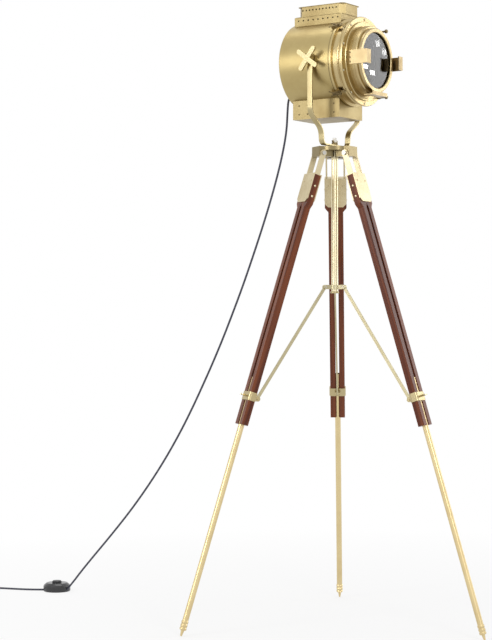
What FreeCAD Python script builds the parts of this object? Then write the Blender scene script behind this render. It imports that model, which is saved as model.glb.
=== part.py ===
import FreeCAD, Part
import math
import os
import Sketcher

# Tripod spotlight floor lamp, in millimetres, +Z up, lens towards -Y.
# The origin is on the floor, under the middle of the standing lamp.

doc = FreeCAD.newDocument("tripod_spotlight")
sheet = doc.addObject("Spreadsheet::Sheet", "Sizes")


# ---------------------------------------------------------------- sizes

class Size:
    """A number with the sheet expression that it comes from."""

    def __init__(self, value, text):
        self.value = float(value)
        self.text = text

    def __add__(self, other):
        other = as_size(other)
        return Size(self.value + other.value, f"({self.text} + {other.text})")

    def __sub__(self, other):
        other = as_size(other)
        return Size(self.value - other.value, f"({self.text} - {other.text})")

    def __mul__(self, other):
        other = as_size(other)
        return Size(self.value * other.value, f"({self.text} * {other.text})")

    def __truediv__(self, other):
        other = as_size(other)
        return Size(self.value / other.value, f"({self.text} / {other.text})")

    def __radd__(self, other):
        return as_size(other) + self

    def __rsub__(self, other):
        return as_size(other) - self

    def __rmul__(self, other):
        return as_size(other) * self

    def __neg__(self):
        return Size(-self.value, f"(0 - {self.text})")


def as_size(number):
    if isinstance(number, Size):
        return number
    return Size(number, f"{number:.6f}")


def sine(angle):
    return Size(math.sin(math.radians(angle.value)), f"sin({angle.text})")


def cosine(angle):
    return Size(math.cos(math.radians(angle.value)), f"cos({angle.text})")


def square_root(number):
    return Size(math.sqrt(number.value), f"sqrt({number.text})")


rows = []


def size(alias, value, meaning):
    """Write one driving dimension into the sheet and hand it back."""
    row = len(rows) + 1
    rows.append(alias)
    sheet.set(f"A{row}", alias)
    sheet.set(f"B{row}", str(value))
    sheet.set(f"C{row}", meaning)
    sheet.setAlias(f"B{row}", alias)
    return Size(value, f"Sizes.{alias}")


# tripod
leg_angle = size("leg_angle", 17.7, "lean of an open leg from the vertical, degrees")
pivot_height = size("pivot_height", 1212, "leg pivots above the floor")
pivot_reach = size("pivot_reach", 45, "leg pivots from the tripod axis")
running_fit = size("running_fit", 0.05, "radial clearance of a pin or shaft in its hole")
body_gap = size("body_gap", 0.3, "gap between pieces that move past each other")
plate_radius = size("plate_radius", 46, "round plate of the tripod head")
plate_thick = size("plate_thick", 10, "plate of the tripod head")
lug_width = size("lug_width", 42, "lug that carries a leg")
lug_reach = size("lug_reach", 55, "outer face of a lug from the axis")
lug_drop = size("lug_drop", 26, "lug height, measured from the plate's top")
lug_root = size("lug_root", 16, "inner end of a lug from the axis")
pivot_below_plate = size("pivot_below_plate", 18, "leg pivots below the plate's top")
pivot_pin_radius = size("pivot_pin_radius", 3.5, "bolt through a lug")
pivot_head_radius = size("pivot_head_radius", 6, "head and nut of a leg bolt")
pivot_head_thick = size("pivot_head_thick", 3.5, "head and nut of a leg bolt")
column_radius = size("column_radius", 8.7, "centre tube")
column_wall = size("column_wall", 1.5, "centre tube wall")
column_foot = size("column_foot", 858, "lower end of the centre tube above the floor")
stud_radius = size("stud_radius", 5, "threaded stud that the yoke turns on")
stud_length = size("stud_length", 24, "stud above the plate")
washer_radius = size("washer_radius", 20, "friction washer under the yoke")
washer_thick = size("washer_thick", 2, "friction washer under the yoke")
cap_rim = size("cap_rim", 2.2, "stop rim of the centre tube's cap, past the tube")
cap_thick = size("cap_thick", 5, "stop rim of the centre tube's cap, height")
cap_plug = size("cap_plug", 12, "length of the cap inside the centre tube")

# legs, measured down the leg from its pivot
head_top = size("head_top", 60, "top of the wooden leg head")
head_end = size("head_end", 138, "lower end of the wooden leg head")
head_taper = size("head_taper", 11, "length over which a head narrows to its slat")
wood_end = size("wood_end", 726, "lower end of the wooden slats")
head_half = size("head_half", 28.5, "half the width of a leg head")
slat_thick = size("slat_thick", 14.5, "one slat, across the leg")
slat_gap = size("slat_gap", 10, "gap between the two slats of a leg")
slat_deep = size("slat_deep", 18, "slat, from its inner to its outer face")
rod_radius = size("rod_radius", 7.6, "extension rod")
rod_wall = size("rod_wall", 1.2, "extension rod wall")
rod_top = size("rod_top", 602, "upper end of an extension rod")
groove_gap = size("groove_gap", 0.3, "slat groove round the rod")
strap_thick = size("strap_thick", 4, "strap of a leg bracket")
strap_width = size("strap_width", 14, "strap of a leg bracket")
strap_eye = size("strap_eye", 8.5, "radius of the eye at a strap's top")
shield_thick = size("shield_thick", 2.5, "brass plate on a leg head's face")
shield_drop = size("shield_drop", 75, "shield plate below the top of the leg head")
shield_corner = size("shield_corner", 9, "cut lower corners of a shield plate")
collar_at = size("collar_at", 652, "middle of the clamp collar")
collar_high = size("collar_high", 22, "clamp collar, along the leg")
collar_wall = size("collar_wall", 2.6, "clamp collar wall")
collar_round = size("collar_round", 7, "rounded corners of the clamp collar")
stay_pin_out = size("stay_pin_out", 22, "stay pin inwards from the leg's axis")
ear_thick = size("ear_thick", 3, "ear of the collar beside the stay")
ear_radius = size("ear_radius", 6.5, "round end of a collar ear")
ferrule_long = size("ferrule_long", 26, "ribbed end of an extension rod")
ferrule_over = size("ferrule_over", 1.3, "ribs past the rod")
rib_count = size("rib_count", 3, "ribs on the end of a rod")
tip_long = size("tip_long", 15, "steel tip of a rod")
tip_radius = size("tip_radius", 2.2, "point of the steel tip")
tip_root = size("tip_root", 4.5, "steel tip where it leaves the rod")

# stays and the sliding spider
spider_pin_reach = size("spider_pin_reach", 28, "stay pins on the spider from the axis")
spider_height = size("spider_height", 869, "stay pins on the spider above the floor")
spider_thick = size("spider_thick", 11, "spider, along the tube")
spider_wall = size("spider_wall", 4.5, "hub of the spider")
cheek_thick = size("cheek_thick", 3, "cheek of the spider beside a stay")
stay_thick = size("stay_thick", 4, "stay bar across")
stay_width = size("stay_width", 7.5, "stay bar")
stay_eye = size("stay_eye", 5, "radius of a stay's end")
stay_pin_radius = size("stay_pin_radius", 2, "pin of a stay")

# thumb screws
thumb_stem = size("thumb_stem", 2.5, "stem radius of a thumb screw")
thumb_neck = size("thumb_neck", 1.5, "neck of a casing thumb screw past its stem")
thumb_reach = size("thumb_reach", 13, "collar thumb screw past the collar")
thumb_wing = size("thumb_wing", 9, "half the width of a thumb screw's wings")
thumb_wing_thick = size("thumb_wing_thick", 3, "wings of a thumb screw")
thumb_wing_high = size("thumb_wing_high", 10, "wings of a thumb screw")

# yoke
yoke_rise = size("yoke_rise", 232, "tilt axis above the leg pivots")
yoke_half = size("yoke_half", 118, "yoke arm's middle from the lamp's centre")
yoke_thick = size("yoke_thick", 4, "yoke bar")
yoke_wide = size("yoke_wide", 15, "yoke bar, front to back")
yoke_foot_half = size("yoke_foot_half", 62, "yoke's foot, half its width")
shoulder_drop = size("shoulder_drop", 156, "shoulder of the yoke below the tilt axis")
yoke_splay = size("yoke_splay", 7, "how far the yoke widens up to its shoulder")
shoulder_half = size("shoulder_half", 14, "half the height of the yoke's shoulder")
yoke_bend = size("yoke_bend", 12, "bend radius of the yoke bar")
yoke_top_over = size("yoke_top_over", 12, "yoke arm above the tilt axis")
boss_radius = size("boss_radius", 15, "boss on the drum's side")
boss_sink = size("boss_sink", 8, "boss wall behind the drum's side")
tilt_stud = size("tilt_stud", 5, "stud radius of the tilt pivots")
knob_hub = size("knob_hub", 11, "hub radius of the cross knob")
knob_hub_long = size("knob_hub_long", 9, "hub of the cross knob, along its axis")
knob_arm = size("knob_arm", 36, "reach of a cross knob arm")
knob_arm_wide = size("knob_arm_wide", 12, "cross knob arm")
knob_arm_thick = size("knob_arm_thick", 5, "cross knob arm")
knob_turn = size("knob_turn", 37, "turn of the cross knob's arms, degrees")

# lamp head, measured from the tilt axis, Y negative towards the lens
drum_radius = size("drum_radius", 110, "drum")
sheet_wall = size("sheet_wall", 1.6, "sheet metal of the head")
drum_rear = size("drum_rear", 102, "drum's rear rim")
drum_front = size("drum_front", 54, "drum's front rim, towards the lens")
bead_over = size("bead_over", 2.4, "rolled bead past the drum")
bead_wide = size("bead_wide", 5, "rolled bead along the drum")
cover_recess = size("cover_recess", 17, "rear cover inside the rim")
front_radius = size("front_radius", 106, "front casing between its bands")
flange_radius = size("flange_radius", 114, "front flange")
flange_face = size("flange_face", 90, "flange's front face, towards the lens")
flange_thick = size("flange_thick", 6, "front flange")
step_radius = size("step_radius", 101, "step in front of the flange")
step_deep = size("step_deep", 5, "step in front of the flange")
barrel_radius = size("barrel_radius", 88, "lens barrel")
barrel_front = size("barrel_front", 118, "front end of the lens barrel")
bezel_radius = size("bezel_radius", 82, "lens retaining ring")
bezel_deep = size("bezel_deep", 9, "lens retaining ring")
glass_window = size("glass_window", 70.5, "clear radius in front of the lens")
lens_thick = size("lens_thick", 6.5, "lens at its middle")
lens_curve = size("lens_curve", 900, "radius of the lens's front face")
reflector_radius = size("reflector_radius", 74, "spherical reflector")
reflector_centre = size("reflector_centre", 22, "reflector's centre, towards the lens")
holder_radius = size("holder_radius", 19, "lamp holder")
holder_long = size("holder_long", 52, "lamp holder from the rear cover")
bulb_cap_radius = size("bulb_cap_radius", 13, "bulb cap")
bulb_radius = size("bulb_radius", 30, "bulb")
bulb_neck = size("bulb_neck", 26, "bulb from the holder to its round part")
vent_rear = size("vent_rear", 92, "lower vent box, rear end")
vent_front = size("vent_front", 49, "lower vent box, front end")
vent_half = size("vent_half", 48, "lower vent box, half its width")
vent_top = size("vent_top", 122, "top of the lower vent box")
cap_rear = size("cap_rear", 87, "upper vent box, rear end")
cap_front = size("cap_front", 51, "upper vent box, front end")
cap_half = size("cap_half", 41, "upper vent box, half its width")
cap_top = size("cap_top", 150, "top of the upper vent box")
cap_corner = size("cap_corner", 13, "cut corners of the upper vent box")
vent_hole = size("vent_hole", 2.1, "radius of a vent hole")
box_half = size("box_half", 56, "box under the drum, half its width")
box_bottom = size("box_bottom", 143, "bottom of the box under the drum")
clip_high = size("clip_high", 35, "side clip for a colour frame")
clip_long = size("clip_long", 55, "side clip, along the lamp")
clip_lip = size("clip_lip", 20, "in-turned end of a side clip")
clip_thick = size("clip_thick", 2, "clip plate")
ledge_half = size("ledge_half", 36, "bottom ledge for a colour frame, half its width")
ledge_lip = size("ledge_lip", 9, "up-turned end of the bottom ledge")
screw_reach = size("screw_reach", 110.8, "casing thumb screws from the lens axis")
screw_turn = size("screw_turn", 50, "casing thumb screws above and below level, degrees")
screw_long = size("screw_long", 26, "casing thumb screws in front of the flange")
screw_knob = size("screw_knob", 5, "round head of a casing thumb screw")
latch_turn = size("latch_turn", 48, "latches above and below level, degrees")
latch_long = size("latch_long", 26, "latch across the seam")
latch_wide = size("latch_wide", 13, "latch along the rim")
latch_thick = size("latch_thick", 4, "latch past the drum")

# cord
cord_radius = size("cord_radius", 2.75, "power cord")
gland_drop = size("gland_drop", 60, "gland below the tilt axis")
gland_radius = size("gland_radius", 8, "nut of the cord gland")
gland_nut = size("gland_nut", 6, "nut of the cord gland, length")
gland_long = size("gland_long", 22, "cord gland with its tapered relief")
cord_split = size("cord_split", 176.5, "end of the cord's stretch on the head, from the tilt axis")
switch_radius = size("switch_radius", 39, "foot switch")
switch_high = size("switch_high", 24, "foot switch body")
switch_edge = size("switch_edge", 2, "bevel under the foot switch")
switch_away = size("switch_away", 946, "foot switch from the tripod axis")
button_radius = size("button_radius", 13.5, "foot switch button")
button_proud = size("button_proud", 6, "foot switch button above the body")
button_sunk = size("button_sunk", 9, "foot switch button inside the body")
coil_radius = size("coil_radius", 33, "coil of spare cord at the middle of its turns")
coil_across = size("coil_across", -122, "coil's centre across the lamp")
coil_away = size("coil_away", 1160, "coil's centre from the tripod axis")
coil_run = size("coil_run", 18, "straight run into the coil")
coil_ease = size("coil_ease", 0.6, "how far that run stands inside the coil's line")
plug_long = size("plug_long", 38, "plug body")
plug_wide = size("plug_wide", 34, "plug body")
plug_high = size("plug_high", 14, "plug body")
plug_pin = size("plug_pin", 2, "radius of a plug pin")
plug_pin_long = size("plug_pin_long", 19, "plug pin")
plug_pin_apart = size("plug_pin_apart", 19, "plug pins apart")

doc.recompute()

# values that follow from the driving dimensions
axis_y = (pivot_reach + pivot_height * sine(leg_angle) / cosine(leg_angle)) / 4
plate_top = pivot_height + pivot_below_plate
tilt_height = pivot_height + yoke_rise
yoke_shoulder = tilt_height - shoulder_drop
rod_end = (pivot_height - tip_radius * sine(leg_angle)) / cosine(leg_angle)
stay_foot_reach = pivot_reach + collar_at * sine(leg_angle) - stay_pin_out * cosine(leg_angle)
stay_foot_height = pivot_height - collar_at * cosine(leg_angle) - stay_pin_out * sine(leg_angle)
stay_across = stay_foot_reach - spider_pin_reach
stay_down = spider_height - stay_foot_height
stay_length = square_root(stay_across * stay_across + stay_down * stay_down)
stay_angle = math.degrees(math.atan2(stay_across.value, stay_down.value))
cover_face = drum_rear - cover_recess
ear_gap = stay_thick + 2 * body_gap
half_slat_gap = slat_gap / 2
slat_outer = half_slat_gap + slat_thick
half_deep = slat_deep / 2
yoke_foot_height = plate_top + washer_thick
ZERO = Size(0, "0")


# ---------------------------------------------------------------- tools

subparts = []


def origin_plane(body, role):
    return [f for f in body.Origin.OriginFeatures if f.Role == role][0]


def new_body(label):
    body = doc.addObject("PartDesign::Body", label)
    body.Label = label
    subparts.append(body)
    return body


def new_sketch(body, role, offset=None):
    sketch = body.newObject("Sketcher::SketchObject", "sketch")
    sketch.AttachmentSupport = [(origin_plane(body, role), "")]
    sketch.MapMode = "FlatFace"
    if offset is not None:
        sketch.setExpression(".AttachmentOffset.Base.z", as_size(offset).text)
    return sketch


def bind_point(sketch, item, end, x, y):
    """Tie one end of a sketch item to the origin by two sheet expressions."""
    for kind, axis, distance in (("DistanceX", -2, x), ("DistanceY", -1, y)):
        distance = as_size(distance)
        if distance.text == "0":
            sketch.addConstraint(Sketcher.Constraint("PointOnObject", item, end, axis))
        else:
            index = sketch.addConstraint(
                Sketcher.Constraint(kind, -1, 1, item, end, distance.value))
            sketch.setExpression(f"Constraints[{index}]", distance.text)


def outline(sketch, points):
    """Closed outline through points given by sizes."""
    places = [FreeCAD.Vector(as_size(x).value, as_size(y).value, 0) for x, y in points]
    lines = []
    for start, end in zip(places, places[1:] + places[:1]):
        lines.append(sketch.addGeometry(Part.LineSegment(start, end), False))
    for line, following in zip(lines, lines[1:] + lines[:1]):
        sketch.addConstraint(Sketcher.Constraint("Coincident", line, 2, following, 1))
    for line, (x, y) in zip(lines, points):
        bind_point(sketch, line, 1, x, y)


def rectangle(sketch, x1, x2, y1, y2):
    outline(sketch, [(x1, y1), (x2, y1), (x2, y2), (x1, y2)])


def circle(sketch, x, y, radius):
    radius = as_size(radius)
    middle = FreeCAD.Vector(as_size(x).value, as_size(y).value, 0)
    item = sketch.addGeometry(Part.Circle(middle, FreeCAD.Vector(0, 0, 1), radius.value), False)
    index = sketch.addConstraint(Sketcher.Constraint("Radius", item, radius.value))
    sketch.setExpression(f"Constraints[{index}]", radius.text)
    bind_point(sketch, item, 3, x, y)


def pad(body, sketch, length, midplane=False, reverse=False):
    feature = body.newObject("PartDesign::Pad", "pad")
    feature.Profile = sketch
    feature.SideType = "Symmetric" if midplane else "One side"
    feature.Reversed = reverse
    feature.setExpression("Length", as_size(length).text)
    return feature


def pocket(body, sketch, length, midplane=False, reverse=False):
    """Cut a sketch out of the body, and check that something went."""
    doc.recompute()
    before = body.Shape.Volume
    feature = body.newObject("PartDesign::Pocket", "pocket")
    feature.Profile = sketch
    feature.SideType = "Symmetric" if midplane else "One side"
    feature.Reversed = reverse
    feature.setExpression("Length", as_size(length).text)
    doc.recompute()
    if body.Shape.Volume >= before - 1e-6:
        raise RuntimeError(f"{body.Label}: a pocket cuts nothing")
    return feature


def revolve(body, sketch, axis="V_Axis"):
    feature = body.newObject("PartDesign::Revolution", "revolution")
    feature.Profile = sketch
    feature.ReferenceAxis = (sketch, [axis])
    feature.Angle = 360
    return feature


def groove(body, sketch, axis="V_Axis"):
    doc.recompute()
    before = body.Shape.Volume
    feature = body.newObject("PartDesign::Groove", "groove")
    feature.Profile = sketch
    feature.ReferenceAxis = (sketch, [axis])
    feature.Angle = 360
    doc.recompute()
    if body.Shape.Volume >= before - 1e-6:
        raise RuntimeError(f"{body.Label}: a groove cuts nothing")
    return feature


def around(body, features, count):
    """Repeat features about the body's Z axis."""
    pattern = body.newObject("PartDesign::PolarPattern", "around")
    pattern.Originals = features
    pattern.Axis = (origin_plane(body, "Z_Axis"), [""])
    pattern.Angle = 360
    pattern.Occurrences = count
    body.Tip = pattern
    return pattern


def mirrored(body, features, role):
    pattern = body.newObject("PartDesign::Mirrored", "mirrored")
    pattern.Originals = features
    pattern.MirrorPlane = (origin_plane(body, role), [""])
    body.Tip = pattern
    return pattern


def in_row(body, features, role, length, count):
    pattern = body.newObject("PartDesign::LinearPattern", "row")
    pattern.Originals = features
    pattern.Direction = (origin_plane(body, role), [""])
    pattern.setExpression("Length", as_size(length).text)
    pattern.Occurrences = count
    body.Tip = pattern
    return pattern


def round_edges(body, feature, radius, wanted, kind="Fillet"):
    """Round or cut the edges that the test picks."""
    doc.recompute()
    names = [f"Edge{n + 1}" for n, edge in enumerate(feature.Shape.Edges) if wanted(edge)]
    result = body.newObject(f"PartDesign::{kind}", kind.lower())
    result.Base = (feature, names)
    prop = "Radius" if kind == "Fillet" else "Size"
    result.setExpression(prop, as_size(radius).text)
    return result


def upright(edge):
    """True for a straight edge along Z."""
    if len(edge.Vertexes) != 2:
        return False
    run = edge.Vertexes[1].Point - edge.Vertexes[0].Point
    return abs(run.x) + abs(run.y) < 1e-6 < abs(run.z)


def primitive(kind, name, sizes, place=None, axis=(0, 0, 1)):
    """A Part primitive with its sizes, and its place if it has one, bound to the sheet."""
    item = doc.addObject(f"Part::{kind}", name)
    for prop, value in sizes.items():
        item.setExpression(prop, as_size(value).text)
    turn = FreeCAD.Rotation(FreeCAD.Vector(0, 0, 1), FreeCAD.Vector(*axis))
    item.Placement = FreeCAD.Placement(FreeCAD.Vector(0, 0, 0), turn)
    for letter, value in zip("xyz", place or ()):
        item.setExpression(f".Placement.Base.{letter}", as_size(value).text)
    return item


def fused(name, items):
    item = doc.addObject("Part::MultiFuse", name)
    item.Shapes = items
    return item


def cut(name, base, tool):
    item = doc.addObject("Part::Cut", name)
    item.Base = base
    item.Tool = tool
    return item


def common(name, items):
    item = doc.addObject("Part::MultiCommon", name)
    item.Shapes = items
    return item


def group(name, items):
    item = doc.addObject("Part::Compound", name)
    item.Links = items
    return item


def keep(item, label, placement=None):
    """Name a finished object as a sub-part and put it in its place."""
    item.Label = label
    if placement is not None:
        item.Placement = placement
    subparts.append(item)
    return item


def at(x, y, z):
    """A place in the lamp's frame, measured from the tripod axis."""
    base = FreeCAD.Vector(as_size(x).value, (axis_y + y).value, as_size(z).value)
    return FreeCAD.Placement(base, FreeCAD.Rotation())


def leg_frame(azimuth, reach, height, lean):
    """Frame with Y outwards from the axis, and Z up along a bar that leans outwards at its foot."""
    out = FreeCAD.Vector(math.cos(math.radians(azimuth)), math.sin(math.radians(azimuth)), 0)
    base = FreeCAD.Vector(0, axis_y.value, height.value) + out * reach.value
    turn = FreeCAD.Rotation(FreeCAD.Vector(0, 0, 1), azimuth - 90)
    tilt = FreeCAD.Rotation(FreeCAD.Vector(1, 0, 0), lean)
    return FreeCAD.Placement(base, turn * tilt)


def bent_line(points, share=0.45, radius=None):
    """Straight runs joined by tangent arcs, and the radii of the arcs."""
    spots = [FreeCAD.Vector(*p) for p in points]
    edges = []
    radii = []
    last = spots[0]
    for before, corner, after in zip(spots, spots[1:], spots[2:]):
        back = (before - corner).normalize()
        ahead = (after - corner).normalize()
        half_turn = (math.pi - back.getAngle(ahead)) / 2
        shorter = min((corner - before).Length, (after - corner).Length)
        reach = share * shorter
        if radius is not None:
            reach = radius * math.tan(half_turn)
        radii.append(reach / math.tan(half_turn))
        start = corner + back * reach
        end = corner + ahead * reach
        centre_way = (back + ahead).normalize()
        centre = corner + centre_way * (radii[-1] / math.cos(half_turn))
        middle = centre - centre_way * radii[-1]
        edges.append(Part.LineSegment(last, start).toShape())
        edges.append(Part.Arc(start, middle, end).toShape())
        last = end
    edges.append(Part.LineSegment(last, spots[-1]).toShape())
    return Part.Wire(edges), radii


def cord_tube(points, name):
    """Round tube along a bent line, checked by its volume."""
    wire, radii = bent_line(points)
    start = FreeCAD.Vector(*points[0])
    way = (FreeCAD.Vector(*points[1]) - start).normalize()
    ring = Part.Wire(Part.Circle(start, way, cord_radius.value).toShape())
    tube = wire.makePipeShell([ring], True, False)
    expected = math.pi * cord_radius.value ** 2 * wire.Length
    print(f"{name}: length {wire.Length:.0f}, radii", " ".join(f"{r:.0f}" for r in radii),
          f"volume ratio {tube.Volume / expected:.4f}")
    if abs(tube.Volume / expected - 1) > 0.01:
        raise RuntimeError(f"{name} has the wrong volume")
    return tube


# ---------------------------------------------------------------- tripod head

def make_head_plate():
    """Round plate with a lug for each leg and a bore for the centre tube."""
    body = new_body("head_plate")
    sketch = new_sketch(body, "XY_Plane")
    circle(sketch, ZERO, ZERO, plate_radius)
    pad(body, sketch, plate_thick, reverse=True)
    sketch = new_sketch(body, "XY_Plane")
    rectangle(sketch, -lug_width / 2, lug_width / 2, -lug_reach, -lug_root)
    lug = pad(body, sketch, lug_drop, reverse=True)
    sketch = new_sketch(body, "YZ_Plane")
    circle(sketch, -pivot_reach, -pivot_below_plate, pivot_pin_radius + running_fit)
    hole = pocket(body, sketch, lug_width + 2, midplane=True)
    around(body, [lug, hole], 3)
    sketch = new_sketch(body, "XY_Plane")
    circle(sketch, ZERO, ZERO, stud_radius)
    pocket(body, sketch, plate_thick)
    sketch = new_sketch(body, "XY_Plane", -plate_thick / 2)
    circle(sketch, ZERO, ZERO, column_radius)
    pocket(body, sketch, plate_thick)
    body.Placement = at(0, 0, plate_top)


def make_centre_tube():
    """Tube that the spider slides on, with the cap that stops it."""
    length = plate_top - plate_thick / 2 - column_foot
    outer = primitive("Cylinder", "tube_outer", {"Radius": column_radius, "Height": length})
    inner = primitive("Cylinder", "tube_inner", {"Radius": column_radius - column_wall,
                                                 "Height": length})
    keep(cut("tube_cut", outer, inner), "centre_tube", at(0, 0, column_foot))
    rim = primitive("Cylinder", "cap_rim", {"Radius": column_radius + cap_rim,
                                            "Height": cap_thick}, (0, 0, -cap_thick))
    plug = primitive("Cylinder", "cap_plug", {"Radius": column_radius - column_wall,
                                              "Height": cap_plug})
    keep(fused("cap_fuse", [rim, plug]), "tube_end_cap", at(0, 0, column_foot))


def make_leg_bolts():
    """One bolt with head and nut through each lug and its two straps."""
    reach = lug_width / 2 + body_gap + strap_thick + body_gap
    bolts = []
    for azimuth in LEGS.values():
        stem = primitive("Cylinder", "bolt_stem", {"Radius": pivot_pin_radius,
                                                   "Height": 2 * reach + 2},
                         (-reach - 1, 0, 0), (1, 0, 0))
        head = primitive("Cylinder", "bolt_head", {"Radius": pivot_head_radius,
                                                   "Height": pivot_head_thick},
                         (reach, 0, 0), (1, 0, 0))
        nut = primitive("Prism", "bolt_nut", {"Circumradius": pivot_head_radius,
                                              "Height": pivot_head_thick},
                        (-reach - pivot_head_thick, 0, 0), (1, 0, 0))
        bolt = fused("leg_bolt", [stem, head, nut])
        bolt.Placement = leg_frame(azimuth, pivot_reach, pivot_height, 0)
        bolts.append(bolt)
    keep(group("leg_bolt_group", bolts), "leg_pivot_bolts")


def make_pan_pivot():
    """Stud, friction washer and wing nut that hold the yoke on the tripod."""
    stud = primitive("Cylinder", "stud", {"Radius": stud_radius,
                                          "Height": plate_thick / 2 + stud_length})
    keep(stud, "pan_stud", at(0, 0, plate_top - plate_thick / 2))
    outer = primitive("Cylinder", "washer_outer", {"Radius": washer_radius,
                                                   "Height": washer_thick})
    inner = primitive("Cylinder", "washer_inner", {"Radius": stud_radius + body_gap,
                                                   "Height": washer_thick})
    keep(cut("washer", outer, inner), "pan_washer", at(0, 0, plate_top))
    body = new_body("pan_wing_nut")
    sketch = new_sketch(body, "XY_Plane")
    circle(sketch, ZERO, ZERO, stud_radius + 3)
    pad(body, sketch, thumb_wing_high * 0.6)
    sketch = new_sketch(body, "XZ_Plane")
    outline(sketch, [(-stud_radius, ZERO), (stud_radius, ZERO),
                     (thumb_wing + 4, thumb_wing_high), (thumb_wing - 1, thumb_wing_high + 2),
                     (ZERO, thumb_wing_high * 0.5), (1 - thumb_wing, thumb_wing_high + 2),
                     (-thumb_wing - 4, thumb_wing_high)])
    pad(body, sketch, thumb_wing_thick, midplane=True)
    sketch = new_sketch(body, "XY_Plane")
    circle(sketch, ZERO, ZERO, stud_radius + running_fit)
    pocket(body, sketch, thumb_wing_high + 4, reverse=True)
    body.Placement = at(0, 0, yoke_foot_height + yoke_thick + body_gap)


# ---------------------------------------------------------------- legs

LEGS = {"front": -90, "right": 30, "left": 150}


def make_slat(label, side, placement):
    """Half a wooden leg: a wide head that narrows to a slat grooved for the rod."""
    body = new_body(label)
    sketch = new_sketch(body, "XZ_Plane")
    outline(sketch, [(ZERO, -head_top), (side * head_half, -head_top),
                     (side * head_half, -head_end),
                     (side * slat_outer, -head_end - head_taper),
                     (side * slat_outer, -wood_end), (side * half_slat_gap, -wood_end),
                     (side * half_slat_gap, -head_end - head_taper),
                     (ZERO, -head_end)])
    pad(body, sketch, slat_deep, midplane=True)
    sketch = new_sketch(body, "XY_Plane", -wood_end)
    circle(sketch, ZERO, ZERO, rod_radius + groove_gap)
    pocket(body, sketch, wood_end - head_end, reverse=True)
    body.Placement = placement


def make_bracket(label, placement):
    """Brass fork: two straps with eyes, a bridge and the two shield plates."""
    body = new_body(label)
    out = half_deep + shield_thick
    top = shield_thick - head_top
    low = -head_top - shield_drop
    sketch = new_sketch(body, "YZ_Plane")
    outline(sketch, [(-out, low), (-half_deep, low), (-half_deep, -head_top),
                     (half_deep, -head_top), (half_deep, low), (out, low),
                     (out, top), (-out, top)])
    pad(body, sketch, 2 * head_half, midplane=True)
    sketch = new_sketch(body, "XZ_Plane")
    for side in (-1, 1):
        outline(sketch, [(side * head_half, low), (side * (head_half - shield_corner), low),
                         (side * head_half, low + shield_corner)])
    pocket(body, sketch, 2 * out + 2, midplane=True)
    inner = lug_width / 2 + body_gap
    sketch = new_sketch(body, "YZ_Plane", inner)
    rectangle(sketch, -strap_width / 2, strap_width / 2, top - shield_thick / 2, ZERO)
    bar = pad(body, sketch, strap_thick)
    sketch = new_sketch(body, "YZ_Plane", inner)
    circle(sketch, ZERO, ZERO, strap_eye)
    eye = pad(body, sketch, strap_thick)
    mirrored(body, [bar, eye], "YZ_Plane")
    sketch = new_sketch(body, "YZ_Plane")
    circle(sketch, ZERO, ZERO, pivot_pin_radius + running_fit)
    pocket(body, sketch, 2 * inner + 2 * strap_thick + 2, midplane=True)
    body.Placement = placement


def make_collar(label, placement):
    """Clamp band round the two slats, with ears for the stay on its inner side."""
    body = new_body(label)
    wide = slat_outer + collar_wall
    deep = half_deep + collar_wall
    sketch = new_sketch(body, "XY_Plane", -collar_at - collar_high / 2)
    rectangle(sketch, -wide, wide, -deep, deep)
    block = pad(body, sketch, collar_high)
    round_edges(body, block, collar_round, upright)
    inner_ear = ear_gap / 2
    sketch = new_sketch(body, "YZ_Plane", inner_ear)
    rectangle(sketch, -stay_pin_out, -half_deep, -collar_at - ear_radius, -collar_at + ear_radius)
    bar = pad(body, sketch, ear_thick)
    sketch = new_sketch(body, "YZ_Plane", inner_ear)
    circle(sketch, -stay_pin_out, -collar_at, ear_radius)
    eye = pad(body, sketch, ear_thick)
    sketch = new_sketch(body, "YZ_Plane", inner_ear + ear_thick / 2)
    circle(sketch, -stay_pin_out, -collar_at, stay_pin_radius + 1.2)
    rivet = pad(body, sketch, ear_thick / 2 + 1.6)
    mirrored(body, [bar, eye, rivet], "YZ_Plane")
    for side in (-1, 1):
        sketch = new_sketch(body, "XY_Plane", -collar_at - collar_high / 2)
        rectangle(sketch, side * half_slat_gap, side * slat_outer, -half_deep, half_deep)
        pocket(body, sketch, collar_high, reverse=True)
    sketch = new_sketch(body, "XY_Plane", -collar_at - collar_high / 2)
    circle(sketch, ZERO, ZERO, rod_radius + groove_gap)
    pocket(body, sketch, collar_high, reverse=True)
    sketch = new_sketch(body, "XZ_Plane", -deep)
    circle(sketch, ZERO, -collar_at, thumb_stem + running_fit)
    pocket(body, sketch, deep - rod_radius, reverse=True)
    body.Placement = placement


def make_rod(label, placement):
    """Extension tube with a ribbed end and a steel tip that reaches the floor."""
    body = new_body(label)
    tip_start = rod_end - tip_long
    ribs_start = tip_start - ferrule_long
    rib = ferrule_long / (2 * rib_count)
    rib_radius = rod_radius + ferrule_over
    points = [(ZERO, -rod_end), (tip_radius, -rod_end), (tip_root, -tip_start),
              (rib_radius - 2, -tip_start)]
    for number in range(int(rib_count.value)):
        low = -tip_start + (2 * number) * rib
        points += [(rib_radius, low + rib * 0.5), (rib_radius, low + rib * 1.2),
                   (rod_radius, low + rib * 1.6)]
    points += [(rod_radius, -rod_top), (rod_radius - rod_wall, -rod_top),
               (rod_radius - rod_wall, -ribs_start), (ZERO, -ribs_start)]
    sketch = new_sketch(body, "XZ_Plane")
    outline(sketch, points)
    revolve(body, sketch)
    body.Placement = placement


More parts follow.
